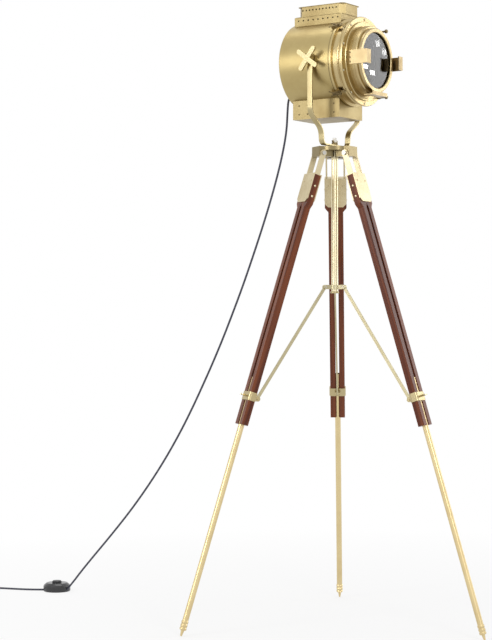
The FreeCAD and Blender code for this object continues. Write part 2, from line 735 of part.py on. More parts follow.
def make_thumb_screw(label, placement):
    """Wing screw that clamps the collar, along Y."""
    body = new_body(label)
    reach = half_deep + collar_wall
    sketch = new_sketch(body, "XZ_Plane", -reach - thumb_reach)
    circle(sketch, ZERO, -collar_at, thumb_stem)
    pad(body, sketch, thumb_reach + reach - rod_radius - body_gap)
    sketch = new_sketch(body, "XY_Plane", -collar_at)
    start = reach + thumb_reach - thumb_wing_high
    outline(sketch, [(-thumb_stem - 1.5, start), (thumb_stem + 1.5, start),
                     (thumb_wing, start + thumb_wing_high - 1),
                     (thumb_wing - 3, start + thumb_wing_high + 1),
                     (ZERO, start + thumb_wing_high * 0.55),
                     (3 - thumb_wing, start + thumb_wing_high + 1),
                     (-thumb_wing, start + thumb_wing_high - 1)])
    pad(body, sketch, thumb_wing_thick, midplane=True)
    body.Placement = placement


def make_stay(label, placement):
    """Flat bar with an eye at the spider and a rivet boss at the collar."""
    body = new_body(label)
    sketch = new_sketch(body, "YZ_Plane")
    rectangle(sketch, -stay_width / 2, stay_width / 2, -stay_length, ZERO)
    pad(body, sketch, stay_thick, midplane=True)
    for place in (ZERO, -stay_length):
        sketch = new_sketch(body, "YZ_Plane")
        circle(sketch, ZERO, place, stay_eye)
        pad(body, sketch, stay_thick, midplane=True)
    sketch = new_sketch(body, "YZ_Plane")
    circle(sketch, ZERO, ZERO, stay_pin_radius + running_fit)
    pocket(body, sketch, stay_thick + 2, midplane=True)
    body.Placement = placement


def make_spider():
    """Sliding hub with three forks, and the pins in them."""
    body = new_body("spider")
    hub = column_radius + spider_wall
    fork_half = ear_gap / 2 + cheek_thick
    sketch = new_sketch(body, "XY_Plane")
    circle(sketch, ZERO, ZERO, hub)
    pad(body, sketch, spider_thick, midplane=True)
    sketch = new_sketch(body, "XY_Plane")
    rectangle(sketch, -fork_half, fork_half, -spider_pin_reach, -column_radius - 1)
    arm = pad(body, sketch, spider_thick, midplane=True)
    sketch = new_sketch(body, "YZ_Plane")
    circle(sketch, -spider_pin_reach, ZERO, spider_thick / 2)
    arm_end = pad(body, sketch, 2 * fork_half, midplane=True)
    sketch = new_sketch(body, "XY_Plane")
    rectangle(sketch, -ear_gap / 2, ear_gap / 2, -spider_pin_reach - spider_thick,
              stay_eye + 1 - spider_pin_reach)
    slot = pocket(body, sketch, spider_thick + 2, midplane=True)
    sketch = new_sketch(body, "YZ_Plane")
    circle(sketch, -spider_pin_reach, ZERO, stay_pin_radius)
    hole = pocket(body, sketch, 2 * fork_half + 2, midplane=True)
    around(body, [arm, arm_end, slot, hole], 3)
    sketch = new_sketch(body, "XY_Plane")
    circle(sketch, ZERO, ZERO, column_radius + running_fit)
    pocket(body, sketch, spider_thick + 2, midplane=True)
    body.Placement = at(0, 0, spider_height)
    pins = []
    for azimuth in LEGS.values():
        pin = primitive("Cylinder", "spider_pin", {"Radius": stay_pin_radius,
                                                   "Height": 2 * fork_half + 2})
        start = FreeCAD.Vector(-fork_half.value - 1, 0, 0)
        turn = FreeCAD.Rotation(FreeCAD.Vector(0, 0, 1), FreeCAD.Vector(1, 0, 0))
        frame = leg_frame(azimuth, spider_pin_reach, spider_height, 0)
        pin.Placement = frame * FreeCAD.Placement(start, turn)
        pins.append(pin)
    keep(group("pin_group", pins), "spider_pins")


def make_legs():
    for name, azimuth in LEGS.items():
        frame = leg_frame(azimuth, pivot_reach, pivot_height, leg_angle.value)
        make_slat(f"leg_{name}_slat_a", -1, frame)
        make_slat(f"leg_{name}_slat_b", 1, frame)
        make_bracket(f"leg_{name}_bracket", frame)
        make_collar(f"leg_{name}_collar", frame)
        make_rod(f"rod_{name}", frame)
        make_thumb_screw(f"thumb_screw_{name}", frame)
        stay_place = leg_frame(azimuth, spider_pin_reach, spider_height, stay_angle)
        make_stay(f"stay_{name}", stay_place)


# ---------------------------------------------------------------- yoke

def make_yoke():
    """Flat bar bent to a U with shoulders, drilled for the stud and the tilt pivots."""
    half = yoke_thick.value / 2
    foot = yoke_foot_height.value + half
    top = tilt_height.value + yoke_top_over.value
    shoulder = yoke_shoulder.value
    rise = shoulder_half.value
    side = [(yoke_foot_half.value, foot),
            (yoke_foot_half.value + yoke_splay.value, shoulder - rise),
            (yoke_half.value, shoulder + rise), (yoke_half.value, top)]
    path = [(-x, 0, z) for x, z in reversed(side)] + [(x, 0, z) for x, z in side]
    wire, radii = bent_line(path, radius=yoke_bend.value)
    print("yoke bends", " ".join(f"{r:.0f}" for r in radii))
    width = yoke_wide.value
    corners = [FreeCAD.Vector(path[0][0] + x * half, y * width / 2, top)
               for x, y in ((-1, -1), (1, -1), (1, 1), (-1, 1), (-1, -1))]
    solid = wire.makePipeShell([Part.makePolygon(corners)], True, False)
    reach = yoke_half.value + width
    holes = [Part.makeCylinder(tilt_stud.value + running_fit.value, 2 * reach,
                               FreeCAD.Vector(-reach, 0, tilt_height.value),
                               FreeCAD.Vector(1, 0, 0)),
             Part.makeCylinder(stud_radius.value + running_fit.value, 4 * yoke_thick.value,
                               FreeCAD.Vector(0, 0, foot - 2 * yoke_thick.value))]
    item = doc.addObject("Part::Feature", "yoke_bar")
    item.Shape = solid.cut(holes).removeSplitter()
    keep(item, "yoke", at(0, 0, 0))


def make_tilt_pivots():
    """Bosses on the drum, the cross knob on one side and a bolt on the other."""
    arm_inner = yoke_half - yoke_thick / 2
    arm_outer = yoke_half + yoke_thick / 2
    bosses = []
    for side in (-1, 1):
        boss = primitive("Cylinder", "boss", {"Radius": boss_radius,
                                              "Height": arm_inner - body_gap - drum_radius
                                              + boss_sink},
                             (side * (drum_radius - boss_sink), 0, 0), (side, 0, 0))
        bore = primitive("Cylinder", "boss_bore", {"Radius": tilt_stud + running_fit,
                                                   "Height": 4 * boss_sink},
                         (side * (drum_radius - 2 * boss_sink), 0, 0), (side, 0, 0))
        drum = primitive("Cylinder", "boss_saddle", {"Radius": drum_radius,
                                                     "Height": 4 * boss_radius},
                         (0, 2 * boss_radius, 0), (0, -1, 0))
        tool = fused("boss_tools", [bore, drum])
        bosses.append(cut("boss_cut", boss, tool))
    keep(group("boss_group", bosses), "tilt_bosses", at(0, 0, tilt_height))

    start = drum_radius + body_gap
    stem = primitive("Cylinder", "bolt", {"Radius": tilt_stud, "Height": arm_outer - start + 1},
                     (start, 0, 0), (1, 0, 0))
    head = primitive("Prism", "bolt_hex", {"Circumradius": boss_radius * 0.7,
                                           "Height": knob_hub_long * 0.6},
                     (arm_outer + body_gap, 0, 0), (1, 0, 0))
    washer = primitive("Cylinder", "bolt_washer", {"Radius": boss_radius * 0.8, "Height": 2},
                       (arm_outer + body_gap, 0, 0), (1, 0, 0))
    keep(fused("bolt_fuse", [stem, head, washer]), "tilt_pivot_bolt", at(0, 0, tilt_height))

    body = new_body("tilt_knob")
    sketch = new_sketch(body, "YZ_Plane", -arm_outer - body_gap)
    circle(sketch, ZERO, ZERO, knob_hub)
    pad(body, sketch, knob_hub_long, reverse=True)
    arm_at = -arm_outer - body_gap - knob_hub_long
    for turn in (0, 90):
        for way in (-1, 1):
            angle = knob_turn + turn
            sketch = new_sketch(body, "YZ_Plane", arm_at)
            across = Size(math.cos(math.radians(angle.value)), f"cos({angle.text})")
            along = Size(math.sin(math.radians(angle.value)), f"sin({angle.text})")
            reach = way * (knob_arm - knob_arm_wide / 2)
            half = knob_arm_wide / 2
            outline(sketch, [(-half * along, half * across), (half * along, -half * across),
                             (reach * across + half * along, reach * along - half * across),
                             (reach * across - half * along, reach * along + half * across)])
            pad(body, sketch, knob_arm_thick, reverse=True)
            sketch = new_sketch(body, "YZ_Plane", arm_at)
            circle(sketch, reach * across, reach * along, half)
            pad(body, sketch, knob_arm_thick, reverse=True)
    sketch = new_sketch(body, "YZ_Plane", -start)
    circle(sketch, ZERO, ZERO, tilt_stud)
    pad(body, sketch, knob_hub_long + knob_arm_thick + arm_outer - start, reverse=True)
    body.Placement = at(0, 0, tilt_height)


# ---------------------------------------------------------------- lamp head

def make_turned(label, points):
    """A piece turned about the lens axis; points are radius and Y."""
    body = new_body(label)
    sketch = new_sketch(body, "XY_Plane")
    outline(sketch, points)
    revolve(body, sketch)
    body.Placement = at(0, 0, tilt_height)
    return body


def make_casings():
    inner = drum_radius - sheet_wall
    make_turned("drum_shell", [
        (inner, -drum_front), (drum_radius + bead_over, -drum_front),
        (drum_radius + bead_over, bead_wide * 0.6 - drum_front),
        (drum_radius, bead_wide - drum_front), (drum_radius, drum_rear - 3),
        (drum_radius - 2, drum_rear - 0.6), (drum_radius - 4, drum_rear),
        (inner - 4, drum_rear), (inner - 4, drum_rear - sheet_wall),
        (inner, drum_rear - sheet_wall - 2)])
    cover = make_turned("rear_cover", [
        (ZERO, cover_face - sheet_wall), (inner, cover_face - sheet_wall),
        (inner, drum_rear - sheet_wall - 3), (inner - sheet_wall, drum_rear - sheet_wall - 3),
        (inner - sheet_wall, cover_face), (ZERO, cover_face)])
    sketch = new_sketch(cover, "XZ_Plane", -cover_face)
    circle(sketch, ZERO, -gland_drop, gland_radius * 0.7)
    pocket(cover, sketch, 2 * sheet_wall + 4, midplane=True)
    flange_back = flange_thick - flange_face
    step_face = -flange_face - step_deep
    casing = make_turned("front_casing", [
        (drum_radius - sheet_wall, -drum_front), (drum_radius + bead_over, -drum_front),
        (drum_radius + bead_over, -drum_front - bead_wide * 0.6),
        (front_radius, -drum_front - bead_wide),
        (front_radius, flange_back + 12), (front_radius + 3, flange_back + 9),
        (front_radius, flange_back + 6), (front_radius, flange_back),
        (flange_radius - 2, flange_back), (flange_radius, flange_back - 2),
        (flange_radius, 2 - flange_face), (flange_radius - 2, -flange_face),
        (step_radius, -flange_face), (step_radius, step_face + 1.5),
        (step_radius - 1.5, step_face), (barrel_radius, step_face),
        (barrel_radius, 2 - barrel_front), (barrel_radius - 2, -barrel_front),
        (glass_window + 2.5, -barrel_front), (glass_window + 2.5, sheet_wall - barrel_front),
        (barrel_radius - sheet_wall, sheet_wall - barrel_front),
        (barrel_radius - sheet_wall, step_face + sheet_wall),
        (front_radius - sheet_wall, flange_back + sheet_wall),
        (front_radius - sheet_wall, -drum_front - bead_wide)])
    sketch = new_sketch(casing, "XZ_Plane", flange_face + 1)
    across = screw_reach * cosine(screw_turn)
    for up in (screw_reach * sine(screw_turn), -(screw_reach * sine(screw_turn))):
        circle(sketch, across, up, thumb_stem + running_fit)
    pocket(casing, sketch, flange_thick + 2)
    seat = -barrel_front
    lip = 2 * sheet_wall
    make_turned("lens_bezel", [
        (bezel_radius - sheet_wall, seat), (bezel_radius, seat),
        (bezel_radius, seat - bezel_deep + 2), (bezel_radius - 2, seat - bezel_deep),
        (glass_window + 1.5, seat - bezel_deep), (glass_window, seat - bezel_deep + 1.5),
        (glass_window, seat - bezel_deep + lip),
        (bezel_radius - sheet_wall, seat - bezel_deep + lip)])


def make_lens():
    """Thick glass with a slightly domed front."""
    rim = bezel_radius - sheet_wall
    disc = primitive("Cylinder", "lens_disc", {"Radius": rim, "Height": lens_thick},
                     (0, -barrel_front, 0), (0, -1, 0))
    ball = primitive("Sphere", "lens_ball", {"Radius": lens_curve},
                     (0, lens_curve - barrel_front - lens_thick, 0))
    keep(common("lens_common", [disc, ball]), "lens_glass", at(0, 0, tilt_height))


def make_light():
    """Lamp holder on the rear cover, bulb, and the reflector round the holder."""
    inside = cover_face - sheet_wall
    front = inside - holder_long
    bore = bulb_cap_radius + body_gap
    make_turned("lamp_holder", [
        (ZERO, inside), (holder_radius, inside), (holder_radius, front),
        (bore, front), (bore, inside - holder_long * 0.4), (ZERO, inside - holder_long * 0.4)])
    cap = primitive("Cylinder", "bulb_cap", {"Radius": bulb_cap_radius,
                                             "Height": holder_long * 0.55},
                    (0, front + holder_long * 0.55, 0), (0, -1, 0))
    neck = primitive("Cone", "bulb_neck", {"Radius1": bulb_cap_radius,
                                           "Radius2": bulb_radius * 0.86, "Height": bulb_neck},
                     (0, front, 0), (0, -1, 0))
    ball = primitive("Sphere", "bulb_ball", {"Radius": bulb_radius},
                     (0, front - bulb_neck - bulb_radius * 0.5, 0))
    keep(fused("bulb_fuse", [cap, neck, ball]), "bulb", at(0, 0, tilt_height))

    outer = primitive("Sphere", "bowl_outer", {"Radius": reflector_radius},
                      (0, -reflector_centre, 0))
    inner = primitive("Sphere", "bowl_inner", {"Radius": reflector_radius - 1},
                      (0, -reflector_centre, 0))
    hole = primitive("Cylinder", "bowl_hole", {"Radius": holder_radius + body_gap,
                                               "Height": 2 * reflector_radius},
                     (0, reflector_radius, 0), (0, -1, 0))
    front_cut = primitive("Box", "bowl_front", {"Length": 4 * reflector_radius,
                                                "Width": 2 * reflector_radius,
                                                "Height": 4 * reflector_radius},
                          (-2 * reflector_radius, -2 * reflector_radius, -2 * reflector_radius))
    tools = fused("bowl_tools", [inner, hole, front_cut])
    keep(cut("bowl_cut", outer, tools), "reflector", at(0, 0, tilt_height))


def make_sheet_box(label, x, rear, front, low, high, closed_low, corner):
    """Sheet metal box saddled on the drum, hollow towards the drum."""
    body = new_body(label)
    sketch = new_sketch(body, "XY_Plane", low)
    if corner is None:
        rectangle(sketch, -x, x, -front, rear)
    else:
        outline(sketch, [(corner - x, -front), (x - corner, -front), (x, corner - front),
                         (x, rear - corner), (x - corner, rear), (corner - x, rear),
                         (-x, rear - corner), (-x, corner - front)])
    pad(body, sketch, high - low)
    hollow_at = low + sheet_wall if closed_low else high - sheet_wall
    sketch = new_sketch(body, "XY_Plane", hollow_at)
    wall = sheet_wall
    if corner is None:
        rectangle(sketch, wall - x, x - wall, wall - front, rear - wall)
    else:
        bite = corner + wall * 0.4
        outline(sketch, [(bite - x, wall - front), (x - bite, wall - front),
                         (x - wall, bite - front), (x - wall, rear - bite),
                         (x - bite, rear - wall), (bite - x, rear - wall),
                         (wall - x, rear - bite), (wall - x, bite - front)])
    pocket(body, sketch, high - low - wall, reverse=closed_low)
    return body


def vent_row(body, height, start, end, count, half):
    """Row of round holes through both sides of a vent box."""
    sketch = new_sketch(body, "YZ_Plane")
    circle(sketch, start, height, vent_hole)
    hole = pocket(body, sketch, 2 * half + 4, midplane=True)
    in_row(body, [hole], "Y_Axis", end - start, count)


def make_boxes():
    saddle = drum_radius - 25
    body = make_sheet_box("vent_lower", vent_half, vent_rear, vent_front, saddle, vent_top,
                          False, None)
    sketch = new_sketch(body, "XY_Plane")
    rectangle(sketch, ZERO, drum_radius, -vent_front - 1, vent_rear + 1)
    groove(body, sketch)
    vent_row(body, vent_top - 9, 10 - vent_front, vent_rear - 12, 9, vent_half)
    body.Placement = at(0, 0, tilt_height)

    body = make_sheet_box("vent_upper", cap_half, cap_rear, cap_front, vent_top, cap_top,
                          False, cap_corner)
    vent_row(body, (vent_top + cap_top) / 2 + 4, 8 + cap_corner - cap_front, cap_rear - 16, 11,
             cap_half)
    body.Placement = at(0, 0, tilt_height)

    body = make_sheet_box("lower_box", box_half, vent_rear, vent_front, -box_bottom,
                          -drum_radius * 0.72, True, None)
    sketch = new_sketch(body, "XY_Plane")
    rectangle(sketch, ZERO, drum_radius, -vent_front - 1, vent_rear + 1)
    groove(body, sketch)
    body.Placement = at(0, 0, tilt_height)


def make_frame_clips():
    """Bent side plates and the bottom ledge that hold a colour frame before the lens."""
    root = -flange_face - step_deep
    end = root - clip_long
    for name, side in (("left", -1), ("right", 1)):
        body = new_body(f"frame_clip_{name}")
        sketch = new_sketch(body, "XY_Plane")
        outer = barrel_radius + clip_thick
        outline(sketch, [(side * barrel_radius, root), (side * outer, root),
                         (side * outer, end), (side * (outer - clip_lip), end),
                         (side * (outer - clip_lip), end + clip_thick),
                         (side * barrel_radius, end + clip_thick)])
        pad(body, sketch, clip_high, midplane=True)
        body.Placement = at(0, 0, tilt_height)
    body = new_body("frame_ledge")
    low = -barrel_radius - clip_thick
    front = -barrel_front - 18
    sketch = new_sketch(body, "YZ_Plane")
    outline(sketch, [(8 - barrel_front, low), (8 - barrel_front, low + clip_thick),
                     (front + clip_thick, low + clip_thick),
                     (front + clip_thick, low + ledge_lip), (front, low + ledge_lip),
                     (front, low)])
    pad(body, sketch, 2 * ledge_half, midplane=True)
    body.Placement = at(0, 0, tilt_height)


def make_casing_fasteners():
    """Two thumb screws through the flange on one side, two latches on the other."""
    for name, side in (("upper", 1), ("lower", -1)):
        turn = math.radians(screw_turn.value)
        x = screw_reach.value * math.cos(turn)
        z = side * screw_reach.value * math.sin(turn)
        body = new_body(f"casing_screw_{name}")
        sketch = new_sketch(body, "XY_Plane")
        neck = thumb_stem + thumb_neck
        top = -screw_long
        outline(sketch, [(ZERO, flange_thick + 6), (thumb_stem, flange_thick + 6),
                         (thumb_stem, -body_gap), (neck, -body_gap), (neck, -3 - body_gap),
                         (thumb_stem, -5 - body_gap), (thumb_stem, top + screw_knob * 1.6),
                         (screw_knob, top + screw_knob * 1.2), (screw_knob, top + 2),
                         (screw_knob - 2, top), (ZERO, top)])
        revolve(body, sketch)
        place = at(0, 0, tilt_height)
        place.Base += FreeCAD.Vector(x, -flange_face.value, z)
        body.Placement = place
    latches = []
    for side in (-1, 1):
        plate = primitive("Box", "latch_plate", {"Length": latch_thick, "Width": latch_long,
                                                 "Height": latch_wide},
                          (drum_radius + bead_over, -latch_long / 2, -latch_wide / 2))
        pad_in = primitive("Box", "latch_seat", {"Length": bead_over + 6, "Width": 6,
                                                 "Height": latch_wide},
                           (drum_radius - 5, latch_long / 2 - 6, -latch_wide / 2))
        drum = primitive("Cylinder", "latch_saddle", {"Radius": drum_radius,
                                                      "Height": 4 * latch_long},
                         (0, 2 * latch_long, 0), (0, -1, 0))
        latch = cut("latch", fused("latch_fuse", [plate, pad_in]), drum)
        turn = FreeCAD.Rotation(FreeCAD.Vector(0, 1, 0), 180 + side * latch_turn.value)
        latch.Placement = FreeCAD.Placement(FreeCAD.Vector(0, -drum_front.value, 0), turn)
        latches.append(latch)
    keep(group("latch_group", latches), "casing_latches", at(0, 0, tilt_height))


# ---------------------------------------------------------------- cord

# Route behind the lamp: distance from the tripod axis and height above the floor.
# The first points are measured from the gland's end and the tilt axis.
LEAD = [(0, 0), (14, 0), (28, -8), (36.5, -21.5), (39, -51), (42, -105)]
HANGING = [(164, 1212), (184, 1146), (207, 1080), (233, 1012), (261, 943),
           (290, 874), (321, 806), (353, 738), (387, 671), (423, 605), (459, 541),
           (497, 479), (538, 418), (581, 360), (626, 304), (673, 250), (721, 199),
           (769, 150), (815, 104), (855, 63), (884, 31), (910, 5)]
# Route on the floor from the switch to the coil: steps across and away.
FLOOR = [(-19, 33), (-39, 62), (-52, 96), (-63, 132), (-74, 169)]


def make_cord():
    gland_end = cover_face.value + gland_long.value
    gland_z = tilt_height.value - gland_drop.value
    lead = [(0, axis_y.value + gland_end + away, gland_z + up) for away, up in LEAD]
    hanging = [(0, axis_y.value + away, up) for away, up in HANGING]
    tube = cord_tube(lead + hanging, "cord from the gland to the switch")
    tilt_point = FreeCAD.Vector(-50, axis_y.value, tilt_height.value)
    along_x = FreeCAD.Vector(1, 0, 0)
    near = Part.makeCylinder(cord_split.value, 100, tilt_point, along_x)
    far = Part.makeCylinder(cord_split.value + body_gap.value, 100, tilt_point, along_x)
    item = doc.addObject("Part::Feature", "cord_lead_tube")
    item.Shape = tube.common(near)
    keep(item, "cord_lead")
    item = doc.addObject("Part::Feature", "cord_hanging_tube")
    item.Shape = tube.cut([far, switch_shape()])
    keep(item, "cord_hanging")

    base_y = axis_y.value + switch_away.value
    level = cord_radius.value
    steps = FLOOR + [(coil_across.value + coil_radius.value - coil_ease.value,
                      coil_away.value - switch_away.value - coil_run.value),
                     (coil_across.value + coil_radius.value,
                      coil_away.value - switch_away.value)]
    floor = [(across, base_y + away, level + 0.05) for across, away in steps]
    item = doc.addObject("Part::Feature", "cord_floor_tube")
    floor_tube = cord_tube(floor, "cord from the switch to the coil")
    item.Shape = floor_tube.cut([coil_shape(), switch_shape()])
    keep(item, "cord_floor")


def coil_shape():
    """Outer shape of four turns, two beside two."""
    ring = Part.makeTorus(coil_radius.value, 2 * cord_radius.value,
                          FreeCAD.Vector(coil_across.value, axis_y.value + coil_away.value,
                                         2 * cord_radius.value))
    return ring


def switch_shape():
    return Part.makeCylinder(switch_radius.value, switch_high.value,
                             FreeCAD.Vector(0, axis_y.value + switch_away.value, 0))


def make_cord_ends():
    coil = primitive("Torus", "coil_ring", {"Radius1": coil_radius, "Radius2": 2 * cord_radius})
    keep(coil, "cord_coil", at(coil_across, coil_away, 2 * cord_radius))

    inside = cover_face
    relief = [(ZERO, inside - 5), (gland_radius * 0.7, inside - 5),
                  (gland_radius * 0.7, inside), (gland_radius, inside),
                  (gland_radius, inside + gland_nut), (gland_radius * 0.75, inside + gland_nut),
                  (cord_radius + 0.8, inside + gland_long), (ZERO, inside + gland_long)]
    body = new_body("cord_gland")
    sketch = new_sketch(body, "XY_Plane")
    outline(sketch, relief)
    revolve(body, sketch)
    body.Placement = at(0, 0, tilt_height - gland_drop)

    body = new_body("foot_switch")
    sketch = new_sketch(body, "XZ_Plane")
    outline(sketch, [(ZERO, ZERO), (switch_radius - 1.5, ZERO), (switch_radius, switch_edge),
                     (switch_radius, switch_high * 0.6), (switch_radius - 3, switch_high * 0.8),
                     (switch_radius - 9, switch_high), (ZERO, switch_high)])
    revolve(body, sketch)
    sketch = new_sketch(body, "XY_Plane", switch_high)
    circle(sketch, ZERO, ZERO, button_radius + body_gap)
    pocket(body, sketch, button_sunk + 4)
    body.Placement = at(0, switch_away, 0)

    body = new_body("switch_button")
    sketch = new_sketch(body, "XZ_Plane")
    outline(sketch, [(ZERO, switch_high - button_sunk), (button_radius, switch_high - button_sunk),
                     (button_radius, switch_high + button_proud - 2),
                     (button_radius - 2, switch_high + button_proud),
                     (ZERO, switch_high + button_proud)])
    revolve(body, sketch)
    body.Placement = at(0, switch_away, 0)

    body = new_body("plug")
    sketch = new_sketch(body, "XY_Plane")
    outline(sketch, [(-plug_wide / 2, ZERO), (plug_wide / 2, ZERO),
                     (plug_wide / 2, plug_long * 0.55), (plug_wide * 0.22, plug_long),
                     (-plug_wide * 0.22, plug_long), (-plug_wide / 2, plug_long * 0.55)])
    pad(body, sketch, plug_high)
    for side in (-1, 1):
        sketch = new_sketch(body, "XZ_Plane")
        circle(sketch, side * plug_pin_apart / 2, plug_high / 2, plug_pin)
        pad(body, sketch, plug_pin_long)
    place = at(coil_across, coil_away + coil_radius + 2 * cord_radius + body_gap, 0)
    turn = FreeCAD.Rotation(FreeCAD.Vector(0, 0, 1), 180)
    place.Base += FreeCAD.Vector(0, plug_long.value, 0)
    body.Placement = FreeCAD.Placement(place.Base, turn)


# ---------------------------------------------------------------- whole lamp

make_head_plate()
make_centre_tube()
make_leg_bolts()
make_pan_pivot()
make_legs()
make_spider()
make_yoke()
make_tilt_pivots()
make_casings()
make_lens()
make_light()
make_boxes()
make_frame_clips()
make_casing_fasteners()
make_cord()
make_cord_ends()
doc.recompute()

print(f"stays: {stay_length.value:.1f} long, {stay_angle:.2f} degrees from the vertical")
print(f"tripod axis at Y {axis_y.value:.2f}, rods end {rod_end.value:.2f} down the leg")

for item in doc.Objects:
    if "Invalid" in item.State or "Error" in item.State:
        raise RuntimeError(f"{item.Label} failed: {item.State}")
os.makedirs("parts", exist_ok=True)
for item in subparts:
    if item.Shape.isNull() or not item.Shape.isValid() or not item.Shape.Solids:
        raise RuntimeError(f"{item.Label} has no sound shape")
    item.Shape.exportStep(f"parts/{item.Label}.step")
print(len(subparts), "sub-parts written")
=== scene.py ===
import math

import bpy
from mathutils import Matrix, Vector


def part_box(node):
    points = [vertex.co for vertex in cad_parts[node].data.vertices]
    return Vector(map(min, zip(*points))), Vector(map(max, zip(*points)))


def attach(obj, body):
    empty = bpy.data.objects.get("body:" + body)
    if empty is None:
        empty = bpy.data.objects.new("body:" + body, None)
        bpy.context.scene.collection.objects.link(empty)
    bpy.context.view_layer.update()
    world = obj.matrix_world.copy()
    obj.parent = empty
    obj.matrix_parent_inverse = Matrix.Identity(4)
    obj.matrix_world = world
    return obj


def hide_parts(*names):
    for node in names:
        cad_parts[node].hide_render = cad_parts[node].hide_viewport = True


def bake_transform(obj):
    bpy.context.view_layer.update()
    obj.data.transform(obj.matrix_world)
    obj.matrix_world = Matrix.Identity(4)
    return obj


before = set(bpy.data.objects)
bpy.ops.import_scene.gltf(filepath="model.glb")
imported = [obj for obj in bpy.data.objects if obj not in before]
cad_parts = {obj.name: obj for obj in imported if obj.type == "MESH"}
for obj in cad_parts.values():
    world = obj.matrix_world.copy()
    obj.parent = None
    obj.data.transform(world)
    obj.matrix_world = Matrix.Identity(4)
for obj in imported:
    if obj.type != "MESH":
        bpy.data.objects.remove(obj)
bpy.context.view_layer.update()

# Tripod spotlight floor lamp, in metres, lens towards -Y, standing on Z 0.
MM = 0.001
AXIS_Y = 0.10795  # the tripod's upright axis
TILT_Z = 1.444  # the tilt axis, which the lens axis crosses
TILT = Vector((0, AXIS_Y, TILT_Z))
GLAND = Vector((0, AXIS_Y + 0.107, 1.384))  # where the cord leaves the rear cover
CORD_RADIUS = 0.00275
COIL = Vector((-0.122, AXIS_Y + 1.160, 0))
SWITCH = Vector((0, AXIS_Y + 0.946, 0))
LEAN = math.radians(17.7)  # each leg from upright
LEGS = {"front": -90, "right": 30, "left": 150}  # compass direction of each leg, degrees
PIVOT_REACH = 0.045  # leg pivots from the tripod's axis
PIVOT_Z = 1.212
SOFT_ANGLE = math.radians(35)  # faces that meet flatter than this are shaded as one


# ---------------------------------------------------------------- tools

def deselect():
    """Leave nothing selected, in object mode."""
    if bpy.context.object and bpy.context.object.mode != "OBJECT":
        bpy.ops.object.mode_set(mode="OBJECT")
    bpy.ops.object.select_all(action="DESELECT")


def only(piece):
    """Select and activate one piece."""
    deselect()
    piece.select_set(True)
    bpy.context.view_layer.objects.active = piece


def settle(piece):
    """Put the piece's place into its mesh and smooth its soft faces."""
    only(piece)
    bpy.ops.object.transform_apply(location=True, rotation=True, scale=True)
    bpy.ops.object.shade_smooth_by_angle(angle=SOFT_ANGLE)
    return piece


def start(name, piece=None):
    """Name a piece, by default the primitive that was just added."""
    piece = piece or bpy.context.object
    piece.name = name
    piece.data.name = name
    return piece


def pick_faces(piece, wanted):
    """Select in edit mode the faces that the test picks by centre and normal."""
    only(piece)
    bpy.ops.object.mode_set(mode="EDIT")
    bpy.ops.mesh.select_mode(type="FACE")
    bpy.ops.mesh.select_all(action="DESELECT")
    bpy.ops.object.mode_set(mode="OBJECT")
    for face in piece.data.polygons:
        face.select = wanted(face.center, face.normal)
    bpy.ops.object.mode_set(mode="EDIT")


def bevelled(piece, width, segments=2, angle=30):
    """Round the edges that are sharper than an angle in degrees."""
    modifier = piece.modifiers.new("edges", "BEVEL")
    modifier.width = width
    modifier.segments = segments
    modifier.limit_method = "ANGLE"
    modifier.angle_limit = math.radians(angle)
    only(piece)
    bpy.ops.object.modifier_apply(modifier=modifier.name)
    return piece


def copy_at(master, name, matrix):
    """A copy with its own mesh, set at its place."""
    piece = master.copy()
    piece.data = master.data.copy()
    bpy.context.scene.collection.objects.link(piece)
    piece.name = name
    piece.matrix_world = matrix
    return settle(piece)


def joined(pieces, name):
    """Join pieces to the first of them."""
    deselect()
    for piece in pieces:
        piece.select_set(True)
    bpy.context.view_layer.objects.active = pieces[0]
    bpy.ops.object.join()
    return start(name, pieces[0])


def facing(place, normal, spin=0.0):
    """Matrix that stands a piece's +Z along a normal at a place."""
    turn = Vector(normal).to_track_quat("Z", "Y").to_matrix().to_4x4()
    return Matrix.Translation(place) @ turn @ Matrix.Rotation(spin, 4, "Z")


def delete(piece):
    only(piece)
    bpy.ops.object.delete()


# ---------------------------------------------------------------- effects shared by materials

def new_group(name, inputs, outputs):
    """A node group with its input and output nodes."""
    group = bpy.data.node_groups.new(name, "ShaderNodeTree")
    for label, kind, value in inputs:
        socket = group.interface.new_socket(label, in_out="INPUT", socket_type=kind)
        socket.default_value = value
    for label, kind in outputs:
        group.interface.new_socket(label, in_out="OUTPUT", socket_type=kind)
    return group, group.nodes.new("NodeGroupInput"), group.nodes.new("NodeGroupOutput")


def add(tree, kind, links=(), **values):
    """Add a node; links are (input, source socket), values are socket defaults by name."""
    node = tree.nodes.new(kind)
    for label, source in links:
        tree.links.new(source, node.inputs[label])
    for label, value in values.items():
        node.inputs[label.replace("_", " ")].default_value = value
    return node


def math_node(tree, operation, first, second):
    """Result of a sum on two sockets or numbers; products and sums stay between 0 and 1."""
    node = tree.nodes.new("ShaderNodeMath")
    node.operation = operation
    node.use_clamp = operation in ("MULTIPLY", "ADD")
    for index, value in enumerate((first, second)):
        if isinstance(value, (int, float)):
            node.inputs[index].default_value = value
        else:
            tree.links.new(value, node.inputs[index])
    return node.outputs[0]


def mixed_colour(tree, factor, first, second):
    """Colour that goes from the first to the second by the factor."""
    node = tree.nodes.new("ShaderNodeMix")
    node.data_type = "RGBA"
    tree.links.new(factor, node.inputs[0])
    for index, value in ((6, first), (7, second)):
        if isinstance(value, tuple):
            node.inputs[index].default_value = value
        else:
            tree.links.new(value, node.inputs[index])
    return node.outputs[2]


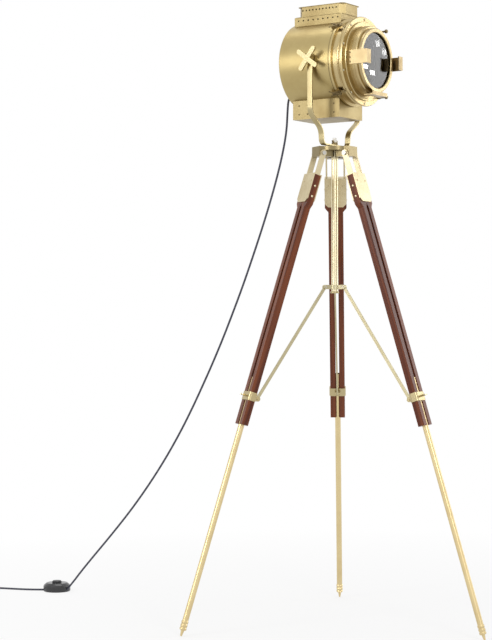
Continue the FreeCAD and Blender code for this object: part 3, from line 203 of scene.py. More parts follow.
def ramp(tree, factor, stops):
    """Colour read from stops of (place, colour) by the factor."""
    node = tree.nodes.new("ShaderNodeValToRGB")
    tree.links.new(factor, node.inputs[0])
    elements = node.color_ramp.elements
    while len(elements) < len(stops):
        elements.new(0.5)
    for element, (place, colour) in zip(elements, stops):
        element.position = place
        element.color = (*colour, 1)
    return node.outputs[0]


def make_aged_metal():
    """Cloudy tarnish, fine brushing and small pits on a metal surface."""
    group, inside, outside = new_group(
        "aged_metal",
        [("Clean", "NodeSocketColor", (0.6, 0.5, 0.3, 1)),
         ("Tarnish", "NodeSocketColor", (0.3, 0.2, 0.1, 1)),
         ("Cloud scale", "NodeSocketFloat", 22), ("Amount", "NodeSocketFloat", 0.5),
         ("Brush scale", "NodeSocketFloat", 900), ("Roughness", "NodeSocketFloat", 0.3),
         ("Brush axis", "NodeSocketVector", (1, 1, 0.04))],
        [("Color", "NodeSocketColor"), ("Roughness", "NodeSocketFloat"),
         ("Height", "NodeSocketFloat")])
    place = add(group, "ShaderNodeTexCoord").outputs["Object"]
    cloud = add(group, "ShaderNodeTexNoise",
                [("Vector", place), ("Scale", inside.outputs["Cloud scale"])],
                Detail=7, Roughness=0.62).outputs[0]
    broad = add(group, "ShaderNodeTexNoise", [("Vector", place)], Scale=6, Detail=3).outputs[0]
    patches = ramp(group, math_node(group, "MULTIPLY", cloud, broad),
                   [(0.17, (0, 0, 0)), (0.40, (1, 1, 1))])
    mask = math_node(group, "MULTIPLY", patches, inside.outputs["Amount"])
    stretch = group.nodes.new("ShaderNodeVectorMath")
    stretch.operation = "MULTIPLY"
    group.links.new(place, stretch.inputs[0])
    group.links.new(inside.outputs["Brush axis"], stretch.inputs[1])
    brush = add(group, "ShaderNodeTexNoise",
                [("Vector", stretch.outputs[0]), ("Scale", inside.outputs["Brush scale"])],
                Detail=4, Roughness=0.7).outputs[0]
    colour = mixed_colour(group, mask, inside.outputs["Clean"], inside.outputs["Tarnish"])
    streaked = mixed_colour(group, math_node(group, "MULTIPLY", brush, 0.35), colour,
                            inside.outputs["Tarnish"])
    group.links.new(streaked, outside.inputs["Color"])
    rough = math_node(group, "ADD", inside.outputs["Roughness"],
                      math_node(group, "MULTIPLY", mask, 0.18))
    rough = math_node(group, "ADD", rough, math_node(group, "MULTIPLY", brush, 0.12))
    group.links.new(rough, outside.inputs["Roughness"])
    group.links.new(brush, outside.inputs["Height"])
    return group


def make_varnished_grain():
    """Long wood grain with pores that runs along one slat."""
    group, inside, outside = new_group(
        "varnished_grain",
        [("Light", "NodeSocketColor", (0.3, 0.1, 0.04, 1)),
         ("Dark", "NodeSocketColor", (0.1, 0.02, 0.01, 1)),
         ("Lean", "NodeSocketVector", (0, 0, 0)), ("Grain", "NodeSocketFloat", 60)],
        [("Color", "NodeSocketColor"), ("Roughness", "NodeSocketFloat"),
         ("Height", "NodeSocketFloat")])
    place = add(group, "ShaderNodeTexCoord").outputs["Object"]
    turned = add(group, "ShaderNodeVectorRotate", [("Vector", place)])
    turned.rotation_type = "EULER_XYZ"
    group.links.new(inside.outputs["Lean"], turned.inputs["Rotation"])
    along = group.nodes.new("ShaderNodeVectorMath")
    along.operation = "MULTIPLY"
    group.links.new(turned.outputs[0], along.inputs[0])
    along.inputs[1].default_value = (1, 1, 0.035)
    wave = add(group, "ShaderNodeTexNoise",
               [("Vector", along.outputs[0]), ("Scale", inside.outputs["Grain"])],
               Detail=6, Roughness=0.6, Distortion=0.7).outputs[0]
    pores = add(group, "ShaderNodeTexNoise", [("Vector", along.outputs[0])],
                Scale=700, Detail=3).outputs[0]
    bands = ramp(group, wave, [(0.32, (0, 0, 0)), (0.66, (1, 1, 1))])
    colour = mixed_colour(group, bands, inside.outputs["Dark"], inside.outputs["Light"])
    pore_mask = ramp(group, pores, [(0.30, (1, 1, 1)), (0.42, (0, 0, 0))])
    flecked = mixed_colour(group, math_node(group, "MULTIPLY", pore_mask, 0.6), colour,
                           inside.outputs["Dark"])
    group.links.new(flecked, outside.inputs["Color"])
    rough = math_node(group, "ADD", math_node(group, "MULTIPLY", bands, 0.10), 0.22)
    group.links.new(rough, outside.inputs["Roughness"])
    group.links.new(pores, outside.inputs["Height"])
    return group


def make_moulded_skin():
    """Fine speckle and faint scuffs of moulded plastic and rubber."""
    group, inside, outside = new_group(
        "moulded_skin",
        [("Base", "NodeSocketColor", (0.03, 0.03, 0.03, 1)),
         ("Scuff", "NodeSocketColor", (0.1, 0.1, 0.1, 1)), ("Roughness", "NodeSocketFloat", 0.4)],
        [("Color", "NodeSocketColor"), ("Roughness", "NodeSocketFloat"),
         ("Height", "NodeSocketFloat")])
    place = add(group, "ShaderNodeTexCoord").outputs["Object"]
    speck = add(group, "ShaderNodeTexNoise", [("Vector", place)], Scale=1400, Detail=2).outputs[0]
    scuff = add(group, "ShaderNodeTexNoise", [("Vector", place)], Scale=90, Detail=6,
                Roughness=0.7).outputs[0]
    mask = ramp(group, scuff, [(0.52, (0, 0, 0)), (0.74, (1, 1, 1))])
    group.links.new(mixed_colour(group, mask, inside.outputs["Base"], inside.outputs["Scuff"]),
                    outside.inputs["Color"])
    rough = math_node(group, "ADD", inside.outputs["Roughness"],
                      math_node(group, "MULTIPLY", speck, 0.15))
    group.links.new(rough, outside.inputs["Roughness"])
    group.links.new(speck, outside.inputs["Height"])
    return group


AGED_METAL = make_aged_metal()
VARNISHED_GRAIN = make_varnished_grain()
MOULDED_SKIN = make_moulded_skin()


def finish_with(name, effect, values, bump, metallic=0.0, **sockets):
    """A material of one shader fed by one shared effect."""
    material = bpy.data.materials.new(name)
    material.use_nodes = True
    tree = material.node_tree
    shader = tree.nodes["Principled BSDF"]
    shader.inputs["Metallic"].default_value = metallic
    for label, value in sockets.items():
        shader.inputs[label.replace("_", " ")].default_value = value
    group = tree.nodes.new("ShaderNodeGroup")
    group.node_tree = effect
    for label, value in values.items():
        group.inputs[label].default_value = value
    tree.links.new(group.outputs["Color"], shader.inputs["Base Color"])
    tree.links.new(group.outputs["Roughness"], shader.inputs["Roughness"])
    relief = add(tree, "ShaderNodeBump", [("Height", group.outputs["Height"])],
                 Strength=bump, Distance=0.0003)
    tree.links.new(relief.outputs[0], shader.inputs["Normal"])
    return material


def brass_finish(name, clean, tarnish, amount, roughness, axis=(1, 1, 0.04), cloud=22,
                 bump=0.12):
    """Aged metal; the axis is short along the brushing and cloud is the tarnish's scale."""
    return finish_with(name, AGED_METAL,
                       {"Clean": (*clean, 1), "Tarnish": (*tarnish, 1), "Amount": amount,
                        "Roughness": roughness, "Brush axis": axis, "Cloud scale": cloud},
                       bump, metallic=1.0)


def leg_turn(direction):
    """Euler turn that brings a leg's line upright for its grain."""
    along = Vector((math.cos(math.radians(direction)) * math.sin(LEAN),
                    math.sin(math.radians(direction)) * math.sin(LEAN), -math.cos(LEAN)))
    return tuple(along.rotation_difference(Vector((0, 0, -1))).to_euler("XYZ"))


BRASS_DRUM = brass_finish("drum_brass", (0.51, 0.41, 0.19), (0.30, 0.20, 0.07), 0.45, 0.26,
                          axis=(0.04, 1, 1))
BRASS_FRONT = brass_finish("front_casing_brass", (0.60, 0.49, 0.26), (0.30, 0.19, 0.07), 0.50,
                           0.20)
BRASS_RING = brass_finish("lens_ring_brass", (0.55, 0.45, 0.25), (0.26, 0.17, 0.07), 0.50, 0.18,
                          cloud=40)
BRASS_CLIP = brass_finish("clip_brass", (0.42, 0.33, 0.18), (0.22, 0.15, 0.07), 0.50, 0.22,
                          cloud=40)
BRASS_BOX = brass_finish("vent_box_brass", (0.37, 0.30, 0.15), (0.26, 0.18, 0.07), 0.50, 0.30)
BRASS_CAST = brass_finish("cast_brass", (0.50, 0.43, 0.24), (0.36, 0.25, 0.10), 0.40, 0.24)
BRASS_PLATE = brass_finish("plate_brass", (0.32, 0.26, 0.14), (0.14, 0.10, 0.04), 0.50, 0.26)
BRASS_KNOB = brass_finish("knob_brass", (0.52, 0.45, 0.26), (0.46, 0.34, 0.16), 0.35, 0.22)
BRASS_SHIELD = brass_finish("shield_brass", (0.72, 0.63, 0.42), (0.40, 0.30, 0.14), 0.45, 0.26)
BRASS_COLUMN = brass_finish("column_brass", (0.88, 0.80, 0.56), (0.60, 0.46, 0.24), 0.30, 0.24)
BRASS_ROD = brass_finish("rod_brass", (0.80, 0.66, 0.37), (0.52, 0.38, 0.18), 0.40, 0.22)
BRASS_STAY = brass_finish("stay_brass", (0.62, 0.56, 0.36), (0.34, 0.28, 0.16), 0.45, 0.30)
BRASS_PALE = brass_finish("screw_brass", (0.78, 0.70, 0.48), (0.36, 0.28, 0.15), 0.45, 0.22,
                          cloud=60)
BRASS_DARK = brass_finish("dark_brass", (0.28, 0.21, 0.10), (0.08, 0.06, 0.03), 0.60, 0.36,
                          cloud=60)
STEEL = brass_finish("fastener_steel", (0.62, 0.60, 0.55), (0.30, 0.28, 0.25), 0.35, 0.26,
                     cloud=50)
REFLECTOR = brass_finish("reflector_aluminium", (0.52, 0.53, 0.55), (0.26, 0.27, 0.29), 0.35,
                         0.12, cloud=30, bump=0.03)
CORD_SKIN = finish_with("cord_sheath", MOULDED_SKIN,
                        {"Base": (0.034, 0.036, 0.058, 1), "Scuff": (0.060, 0.062, 0.085, 1),
                         "Roughness": 0.38}, 0.06)
SWITCH_SKIN = finish_with("switch_shell", MOULDED_SKIN,
                          {"Base": (0.014, 0.014, 0.016, 1), "Scuff": (0.035, 0.035, 0.038, 1),
                           "Roughness": 0.22}, 0.05, Coat_Weight=0.3)
BUTTON_SKIN = finish_with("button_shell", MOULDED_SKIN,
                          {"Base": (0.020, 0.020, 0.022, 1), "Scuff": (0.05, 0.05, 0.05, 1),
                           "Roughness": 0.34}, 0.05)
WASHER_SKIN = finish_with("washer_fibre", MOULDED_SKIN,
                          {"Base": (0.10, 0.085, 0.07, 1), "Scuff": (0.20, 0.17, 0.13, 1),
                           "Roughness": 0.6}, 0.3)
CERAMIC = finish_with("glazed_holder", MOULDED_SKIN,
                      {"Base": (0.78, 0.77, 0.72, 1), "Scuff": (0.66, 0.63, 0.56, 1),
                       "Roughness": 0.12}, 0.04, Coat_Weight=0.6)
WOOD = {name: finish_with(f"leg_wood_{name}", VARNISHED_GRAIN,
                          {"Light": (0.230, 0.062, 0.021, 1), "Dark": (0.070, 0.014, 0.006, 1),
                           "Lean": leg_turn(direction), "Grain": 55.0},
                          0.08, Coat_Weight=0.08, Coat_Roughness=0.12, Specular_IOR_Level=0.22)
        for name, direction in LEGS.items()}


def glass(name, tint, roughness, ior):
    """Clear glass with a few dust specks."""
    material = bpy.data.materials.new(name)
    material.use_nodes = True
    tree = material.node_tree
    shader = tree.nodes["Principled BSDF"]
    shader.inputs["Transmission Weight"].default_value = 1.0
    shader.inputs["IOR"].default_value = ior
    place = add(tree, "ShaderNodeTexCoord").outputs["Object"]
    dust = add(tree, "ShaderNodeTexNoise", [("Vector", place)], Scale=260, Detail=5).outputs[0]
    mask = ramp(tree, dust, [(0.60, (0, 0, 0)), (0.80, (1, 1, 1))])
    tree.links.new(math_node(tree, "ADD", math_node(tree, "MULTIPLY", mask, 0.15), roughness),
                   shader.inputs["Roughness"])
    tree.links.new(mixed_colour(tree, mask, (*tint, 1), tuple(c * 0.8 for c in tint) + (1,)),
                   shader.inputs["Base Color"])
    return material


LENS = glass("lens_clear", (0.42, 0.42, 0.41), 0.02, 1.52)
BULB = glass("bulb_clear", (0.85, 0.85, 0.83), 0.04, 1.45)

NODE_FINISH = {
    "bulb": BULB, "casing_latches": BRASS_DARK, "casing_screw_lower": BRASS_DARK,
    "casing_screw_upper": BRASS_DARK, "centre_tube": BRASS_COLUMN, "cord_coil": CORD_SKIN,
    "cord_floor": CORD_SKIN, "cord_gland": SWITCH_SKIN, "cord_hanging": CORD_SKIN,
    "cord_lead": CORD_SKIN, "drum_shell": BRASS_DRUM, "foot_switch": SWITCH_SKIN,
    "frame_clip_left": BRASS_CLIP, "frame_clip_right": BRASS_CLIP, "frame_ledge": BRASS_CLIP,
    "front_casing": BRASS_FRONT, "head_plate": BRASS_PLATE, "lamp_holder": CERAMIC,
    "leg_pivot_bolts": STEEL, "lens_bezel": BRASS_RING, "lens_glass": LENS,
    "lower_box": BRASS_BOX, "pan_stud": STEEL, "pan_washer": WASHER_SKIN,
    "pan_wing_nut": BRASS_DARK, "plug": SWITCH_SKIN, "rear_cover": BRASS_DRUM,
    "reflector": REFLECTOR, "spider": BRASS_STAY, "spider_pins": STEEL,
    "switch_button": BUTTON_SKIN, "tilt_bosses": BRASS_CAST, "tilt_knob": BRASS_KNOB,
    "tilt_pivot_bolt": STEEL, "tube_end_cap": BRASS_CAST, "vent_lower": BRASS_BOX,
    "vent_upper": BRASS_BOX, "yoke": BRASS_CAST}
for leg in LEGS:
    NODE_FINISH.update({
        f"leg_{leg}_bracket": BRASS_SHIELD, f"leg_{leg}_collar": BRASS_KNOB,
        f"leg_{leg}_slat_a": WOOD[leg], f"leg_{leg}_slat_b": WOOD[leg],
        f"rod_{leg}": BRASS_ROD, f"stay_{leg}": BRASS_STAY, f"thumb_screw_{leg}": BRASS_PALE})


def dress(piece, material):
    """Give a piece one finish."""
    piece.data.materials.clear()
    piece.data.materials.append(material)
    return piece


for node, node_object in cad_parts.items():
    for slot in node_object.material_slots:
        slot.link = "OBJECT"
        slot.material = NODE_FINISH[node]


# ---------------------------------------------------------------- cord

def cord_line(name, points):
    """Smooth route through its control points, as a curve with no thickness."""
    data = bpy.data.curves.new(name, "CURVE")
    data.dimensions = "3D"
    data.resolution_u = 10
    spline = data.splines.new("NURBS")
    spline.points.add(len(points) - 1)
    for point, place in zip(spline.points, points):
        point.co = (*place, 1)
    spline.order_u = 3
    spline.use_endpoint_u = True
    piece = bpy.data.objects.new(name, data)
    bpy.context.scene.collection.objects.link(piece)
    return piece


def cord_tube(name, points):
    """Round sheath along the smooth route, and the points that it follows."""
    piece = cord_line(name, points)
    bpy.context.view_layer.update()
    bare = bpy.data.meshes.new_from_object(piece)
    path = [tuple(vertex.co) for vertex in bare.vertices]
    bpy.data.meshes.remove(bare)
    piece.data.bevel_depth = CORD_RADIUS
    piece.data.bevel_resolution = 4
    piece.data.use_fill_caps = True
    only(piece)
    bpy.ops.object.convert(target="MESH")
    piece = bpy.context.object
    start(name, piece)
    bpy.ops.object.shade_smooth()
    length = sum((Vector(a) - Vector(b)).length for a, b in zip(path, path[1:]))
    print(f"{name}: {length:.4f} m")
    return dress(piece, CORD_SKIN), path, length


# Routes in millimetres: the lead from the gland, the hanging cord from the tripod's
# axis on the floor, both as (backwards, up), and the floor cord from the switch's middle as
# (across, backwards).
LEAD = [(0, 0), (14, 0), (28, -8), (36.5, -21.5), (39, -51), (42, -105)]
HANGING = [(164, 1212), (184, 1146), (207, 1080), (233, 1012), (261, 943),
           (290, 874), (321, 806), (353, 738), (387, 671), (423, 605), (459, 541),
           (497, 479), (538, 418), (581, 360), (626, 304), (673, 250), (721, 199),
           (769, 150), (815, 104), (855, 63), (884, 31), (910, 5)]
FLOOR = [(-19, 33), (-39, 62), (-52, 96), (-63, 132), (-74, 169), (-84, 190)]

hanging_route = [(0, GLAND.y + away * MM, GLAND.z + up * MM) for away, up in LEAD]
hanging_route += [(0, AXIS_Y + away * MM, up * MM) for away, up in HANGING]
hanging_cord, hanging_path, hanging_length = cord_tube("hanging_cord", hanging_route)
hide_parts("cord_lead", "cord_hanging")
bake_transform(hanging_cord)

COIL_TURNS = 4
LAST_TURN = COIL_TURNS - 1
TURN_POINTS = 16
COIL_RADIUS = 0.033
BUNDLE_RADIUS = 0.0039  # from the middle of the bundle to each turn's line
COIL_MIDDLE = 2 * CORD_RADIUS + 0.00011
COIL_EXIT = 0.0058  # how far the last turn moves outwards as it leaves
CURVE_PULL = 0.981  # share of a circle's radius that a smooth line through its points keeps
EIGHTH = math.radians(45)
QUARTER = math.radians(90)
FLOOR_RUN_Z = 0.0029
PLUG_RUN_X, PLUG_RUN_Z = -0.0800, 0.0066
PLUG_BEND = 0.0255
PLUG_BEND_Y = COIL.y + 0.0325
PLUG_Y = PLUG_BEND_Y + PLUG_BEND


def coil_point(step):
    """Point of the coil, where each turn moves to its own lane of the bundle in its last quarter."""
    turn = min(step // TURN_POINTS, LAST_TURN)
    shift = max(0.0, 4 * (step / TURN_POINTS - turn) - 3)
    lane = -EIGHTH - QUARTER * turn
    reach = COIL_RADIUS
    if turn < LAST_TURN:
        lane -= QUARTER * shift
    else:
        reach += COIL_EXIT * shift
    reach = (reach + BUNDLE_RADIUS * math.cos(lane)) / CURVE_PULL
    lift = BUNDLE_RADIUS * (math.sin(EIGHTH + QUARTER * shift) - math.sin(EIGHTH))
    angle = 2 * math.pi * step / TURN_POINTS
    return (COIL.x + reach * math.cos(angle), COIL.y + reach * math.sin(angle),
            COIL_MIDDLE + BUNDLE_RADIUS * math.sin(lane) + lift)


floor_route = [(across * MM, SWITCH.y + away * MM, FLOOR_RUN_Z) for across, away in FLOOR]
floor_route += [coil_point(step) for step in range(COIL_TURNS * TURN_POINTS + 1)]
floor_route += [(PLUG_RUN_X, COIL.y + 0.012, 0.0080), (PLUG_RUN_X, COIL.y + 0.026, PLUG_RUN_Z)]
for step in range(5):
    angle = QUARTER * step / 4
    floor_route.append((PLUG_RUN_X + PLUG_BEND * (math.cos(angle) - 1),
                        PLUG_BEND_Y + PLUG_BEND * math.sin(angle), PLUG_RUN_Z))
floor_route.append((-0.1130, PLUG_Y, 0.0068))
floor_cord, floor_path, floor_length = cord_tube("floor_cord", floor_route)
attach(floor_cord, "yoke")
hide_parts("cord_floor", "cord_coil")


PLUG_LONG, PLUG_WIDE, PLUG_HIGH = 0.034, 0.030, 0.0135
PLUG_NECK = 0.36  # share of the width that is left at the cord's end
PLUG_CROWN = 0.18  # share of the height that is lost at the sides
PLUG_WAIST = 2.1  # how late the sides draw in
RELIEF_RIBS, RIB_STEP, RIB_TAPER = 5, 0.0034, 0.00035
PIN_RADIUS, PIN_LONG, PIN_APART = 0.0020, 0.019, 0.0095
ALONG_X = (0, math.pi / 2, 0)  # turns a cylinder's axis along X


def make_plug():
    """Flat two pin plug with a rounded body, a waist and a ribbed relief."""
    bpy.ops.mesh.primitive_cube_add(size=1, location=(0, 0, 0))
    body = start("plug_body")
    body.scale = (PLUG_LONG, PLUG_WIDE, PLUG_HIGH)
    settle(body)
    only(body)
    bpy.ops.object.mode_set(mode="EDIT")
    bpy.ops.mesh.subdivide(number_cuts=5)
    bpy.ops.object.mode_set(mode="OBJECT")
    for vertex in body.data.vertices:
        left = 0.5 - vertex.co.x / PLUG_LONG
        drawn_in = min(1.0, max(0.0, PLUG_WAIST * left)) ** 0.5
        vertex.co.y *= PLUG_NECK + (1 - PLUG_NECK) * drawn_in
        vertex.co.z *= 1.0 - PLUG_CROWN * (2 * abs(vertex.co.y) / PLUG_WIDE) ** 2
    bevelled(body, 0.0012, 3)
    dark_parts = [body]
    for rank in range(RELIEF_RIBS):
        bpy.ops.mesh.primitive_cylinder_add(
            vertices=24, radius=0.0050 - RIB_TAPER * rank, depth=0.0022,
            location=(0.0185 + RIB_STEP * rank, 0, 0), rotation=ALONG_X)
        dark_parts.append(bevelled(start(f"relief_rib_{rank}"), 0.0005, 2))
    bpy.ops.mesh.primitive_cone_add(vertices=24, radius1=0.0044, radius2=0.0033, depth=0.020,
                                    location=(0.025, 0, 0), rotation=ALONG_X)
    dark_parts.append(start("relief_core"))
    for part in dark_parts:
        dress(part, SWITCH_SKIN)
    pins = []
    for side in (-1, 1):
        bpy.ops.mesh.primitive_cylinder_add(
            vertices=20, radius=PIN_RADIUS, depth=PIN_LONG,
            location=(-0.0262, side * PIN_APART, 0), rotation=ALONG_X)
        pin = bevelled(start(f"pin_{side + 1}"), 0.0008, 3)
        pins.append(dress(pin, STEEL))
    plug = joined(dark_parts + pins, "mains_plug")
    plug.location = (-0.1425, PLUG_Y, 0.0070)
    return settle(plug)


mains_plug = make_plug()
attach(mains_plug, "yoke")
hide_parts("plug")


# ---------------------------------------------------------------- small fasteners

def make_rivet(radius, high):
    """Low domed head."""
    bpy.ops.mesh.primitive_uv_sphere_add(segments=20, ring_count=10, radius=radius,
                                         location=(0, 0, 0))
    rivet = start("rivet_master")
    only(rivet)
    bpy.ops.object.mode_set(mode="EDIT")
    bpy.ops.mesh.select_all(action="SELECT")
    bpy.ops.mesh.bisect(plane_co=(0, 0, 0), plane_no=(0, 0, 1), clear_inner=True, use_fill=True)
    bpy.ops.mesh.select_all(action="SELECT")
    bpy.ops.transform.resize(value=(1, 1, high / radius))
    bpy.ops.object.mode_set(mode="OBJECT")
    return rivet


def make_slotted_screw(radius, high):
    """Round screw head with a driver slot cut in it."""
    screw = make_rivet(radius, high)
    start("screw_master", screw)
    bpy.ops.mesh.primitive_cube_add(size=1, location=(0, 0, high))
    slot = start("slot_cutter")
    slot.scale = (radius * 3, radius * 0.24, high * 0.9)
    settle(slot)
    cut = screw.modifiers.new("slot", "BOOLEAN")
    cut.operation = "DIFFERENCE"
    cut.solver = "EXACT"
    cut.object = slot
    only(screw)
    bpy.ops.object.modifier_apply(modifier=cut.name)
    delete(slot)
    return screw


def make_hex_nut(across, high, hole):
    """Hexagonal nut with the stud's end raised from its middle."""
    bpy.ops.mesh.primitive_cylinder_add(vertices=6, radius=across / 2 / math.cos(math.pi / 6),
                                        depth=high, location=(0, 0, high / 2))
    nut = start("nut_master")
    pick_faces(nut, lambda centre, normal: normal.z > 0.9)
    bpy.ops.mesh.inset(thickness=(across - hole) / 2)
    bpy.ops.mesh.extrude_region_move(TRANSFORM_OT_translate={"value": (0, 0, high * 0.45)})
    bpy.ops.object.mode_set(mode="OBJECT")
    return bevelled(nut, high * 0.09, 2)


def set_of(master, name, matrices, body, material):
    """Copies of one fastener joined to a piece that rides on its body."""
    copies = [copy_at(master, f"{name}_{rank}", matrix) for rank, matrix in enumerate(matrices)]
    piece = dress(joined(copies, name), material)
    settle(piece)
    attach(piece, body)
    return piece


def head_point(x, y, z):
    """Point of the lamp head, measured from where its axes cross."""
    return Vector((x, AXIS_Y + y, TILT_Z + z))


def round_head(degrees, reach, y):
    """Point at an angle round the lens axis, with that angle in radians."""
    angle = math.radians(degrees)
    return head_point(reach * math.cos(angle), y, reach * math.sin(angle)), angle


rivet = make_rivet(radius=0.0021, high=0.0011)
box_low, box_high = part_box("lower_box")
box_rivets = []
for side, face in ((-1, box_low[0]), (1, box_high[0])):
    for y in (0.073, 0.047, -0.032):
        for z in (-0.108, -0.130):
            box_rivets.append(facing(head_point(face, y, z), (side, 0, 0)))
set_of(rivet, "box_rivets", box_rivets, "head", BRASS_DARK)

clip_rivets = []
for side in (-1, 1):
    for z in (-0.012, 0, 0.012):
        clip_rivets.append(facing(head_point(side * 0.0902, -0.101, z), (side, 0, 0)))
set_of(rivet, "clip_rivets", clip_rivets, "head", BRASS_DARK)

flange_screw = make_slotted_screw(radius=0.0032, high=0.0016)
flange_places = []
for degrees in (20, 90, 128, 162, 198, 232, 270, 340):
    place, angle = round_head(degrees, reach=0.1075, y=-0.090)
    flange_places.append(facing(place, (0, -1, 0), angle))
set_of(flange_screw, "flange_screws", flange_places, "head", BRASS_PALE)

nut = make_hex_nut(across=0.0065, high=0.0028, hole=0.0032)

wood_screw = make_slotted_screw(radius=0.0030, high=0.0011)
SLOT_TURN = 60  # radians of slot turn for each metre down the leg, so that no two line up


def on_leg(direction, down, side, out):
    """Point on a leg: distance down it, across it and outwards from it."""
    angle = math.radians(direction)
    radial = Vector((math.cos(angle), math.sin(angle), 0))
    across = Vector((-math.sin(angle), math.cos(angle), 0))
    along = radial * math.sin(LEAN) + Vector((0, 0, -math.cos(LEAN)))
    outward = radial * math.cos(LEAN) + Vector((0, 0, math.sin(LEAN)))
    place = (Vector((0, AXIS_Y, PIVOT_Z)) + radial * PIVOT_REACH + along * down
             + across * side + outward * out)
    return place, across, outward


for leg, direction in LEGS.items():
    screws = []
    for side in (-1, 1):
        for down in (0.090, 0.118):
            place, across, outward = on_leg(direction, down, side * 0.0285, 0)
            screws.append(facing(place, across * side, SLOT_TURN * down))
    set_of(wood_screw, f"leg_{leg}_wood_screws", screws, f"leg_{leg}", BRASS_PALE)
    heads = []
    for face in (-1, 1):
        for side in (-1, 1):
            place, across, outward = on_leg(direction, 0.078, side * 0.019, face * 0.0115)
            heads.append(facing(place, outward * face, side))
    set_of(rivet, f"leg_{leg}_shield_rivets", heads, f"leg_{leg}", BRASS_SHIELD)


def make_band(name, radius, middle, wide, thick, material):
    """Flat band round the lens axis, its middle measured from the tilt axis."""
    bpy.ops.mesh.primitive_cylinder_add(vertices=128, radius=radius + thick, depth=wide,
                                        end_fill_type="NOTHING", location=(0, 0, 0),
                                        rotation=(math.pi / 2, 0, 0))
    band = start(name)
    settle(band)
    wall = band.modifiers.new("wall", "SOLIDIFY")
    wall.thickness = thick
    wall.offset = -1
    only(band)
    bpy.ops.object.modifier_apply(modifier=wall.name)
    bevelled(band, thick * 0.3, 2, 50)
    band.location = (0, AXIS_Y + middle, TILT_Z)
    settle(band)
    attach(band, "head")
    return dress(band, material)


make_band("seam_band", radius=0.1100, middle=-0.0505, wide=0.0055, thick=0.0009,
          material=BRASS_DARK)
for rank, middle in enumerate((-0.0985, -0.1045, -0.1105)):
    make_band(f"barrel_bead_{rank}", radius=0.0880, middle=middle, wide=0.0022, thick=0.0007,
              material=BRASS_FRONT)


LID_CORNER = 0.012


def make_lip(name, node, over, low, thick):
    """Thin lid with round corners that stands out past a vent box on all sides."""
    near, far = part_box(node)
    bpy.ops.mesh.primitive_cube_add(size=1, location=(0, (near[1] + far[1]) / 2,
                                                      TILT_Z + low + thick / 2))
    lip = start(name)
    lip.scale = (far[0] - near[0] + 2 * over, far[1] - near[1] + 2 * over, thick)
    settle(lip)
    only(lip)
    bpy.ops.object.mode_set(mode="EDIT")
    bpy.ops.mesh.select_mode(type="EDGE")
    bpy.ops.mesh.select_all(action="DESELECT")
    bpy.ops.object.mode_set(mode="OBJECT")
    for edge in lip.data.edges:
        first, last = (lip.data.vertices[index].co for index in edge.vertices)
        edge.select = abs(first.z - last.z) > thick / 2
    bpy.ops.object.mode_set(mode="EDIT")
    bpy.ops.mesh.bevel(offset=LID_CORNER, segments=6, affect="EDGES")
    bpy.ops.object.mode_set(mode="OBJECT")
    bevelled(lip, thick * 0.3, 2)
    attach(settle(lip), "head")
    return dress(lip, BRASS_BOX)


make_lip("upper_vent_lid", "vent_upper", over=0.0018, low=0.1488, thick=0.0014)
make_lip("lower_vent_lid", "vent_lower", over=0.0012, low=0.1213, thick=0.0014)


def strip_between(name, first, last, outward, wide, thick):
    """Flat strip from one point to another that faces outwards."""
    along = last - first
    bpy.ops.mesh.primitive_cube_add(size=1, location=(0, 0, 0))
    strip = start(name)
    axis = along.normalized()
    face = (outward - axis * outward.dot(axis)).normalized()
    turn = Matrix((axis, face.cross(axis), face)).transposed().to_4x4()
    size = Matrix.Diagonal((along.length + wide, wide, thick, 1))
    strip.matrix_world = Matrix.Translation((first + last) / 2) @ turn @ size
    settle(strip)
    return bevelled(strip, thick * 0.35, 2)


FORK_DEGREES = 48  # above or below level, seen along the lens axis
FORK_Y = -0.0600
ARM_END_Y = -0.0360
TAIL_Y = -0.0780
FORK_REACH, TAIL_REACH = 0.1172, 0.1105
ARM_SPREAD = 0.0075
STRAP_THICK = 0.0022


def make_toggle(name, side):
    """Forked strap with its nut that holds the front casing to the drum."""
    angle = math.radians(FORK_DEGREES * side)
    outward = Vector((-math.cos(angle), 0, math.sin(angle)))
    across = Vector((math.sin(angle) * side, 0, math.cos(angle) * side))
    fork = TILT + outward * FORK_REACH + Vector((0, FORK_Y, 0))
    arm_end = TILT + outward * FORK_REACH + Vector((0, ARM_END_Y, 0))
    tail = TILT + outward * TAIL_REACH + Vector((0, TAIL_Y, 0))
    parts = [strip_between(f"{name}_arm_{end}", fork, arm_end + across * end * ARM_SPREAD,
                           outward, 0.0030, STRAP_THICK) for end in (-1, 1)]
    parts.append(strip_between(f"{name}_stem", fork, tail, outward, 0.0034, STRAP_THICK))
    parts.append(copy_at(nut, f"{name}_nut", facing(fork + outward * 0.0008, outward)))
    toggle = settle(joined(parts, name))
    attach(toggle, "head")
    return dress(toggle, BRASS_DARK)


for label, side in (("upper_toggle", 1), ("lower_toggle", -1)):
    make_toggle(label, side)

cover_screws = []
for rank in range(6):
    place, angle = round_head(30 + 60 * rank, reach=0.094, y=0.0850)
    cover_screws.append(facing(place, (0, 1, 0), angle))
set_of(flange_screw, "cover_screws", cover_screws, "head", BRASS_PALE)

for master in (rivet, flange_screw, nut, wood_screw):
    delete(master)


YOKE_FOOT_X, YOKE_WAIST_X, YOKE_ARM_X = 0.062, 0.066, 0.118
YOKE_WAIST_Z, YOKE_SHOULDER_Z = 1.272, 1.308
YOKE_WIDE, YOKE_THICK = 0.015, 0.004
YOKE_FOOT_BEND, YOKE_SIDE_BEND = 0.014, 0.032
ARC_STEPS = 12


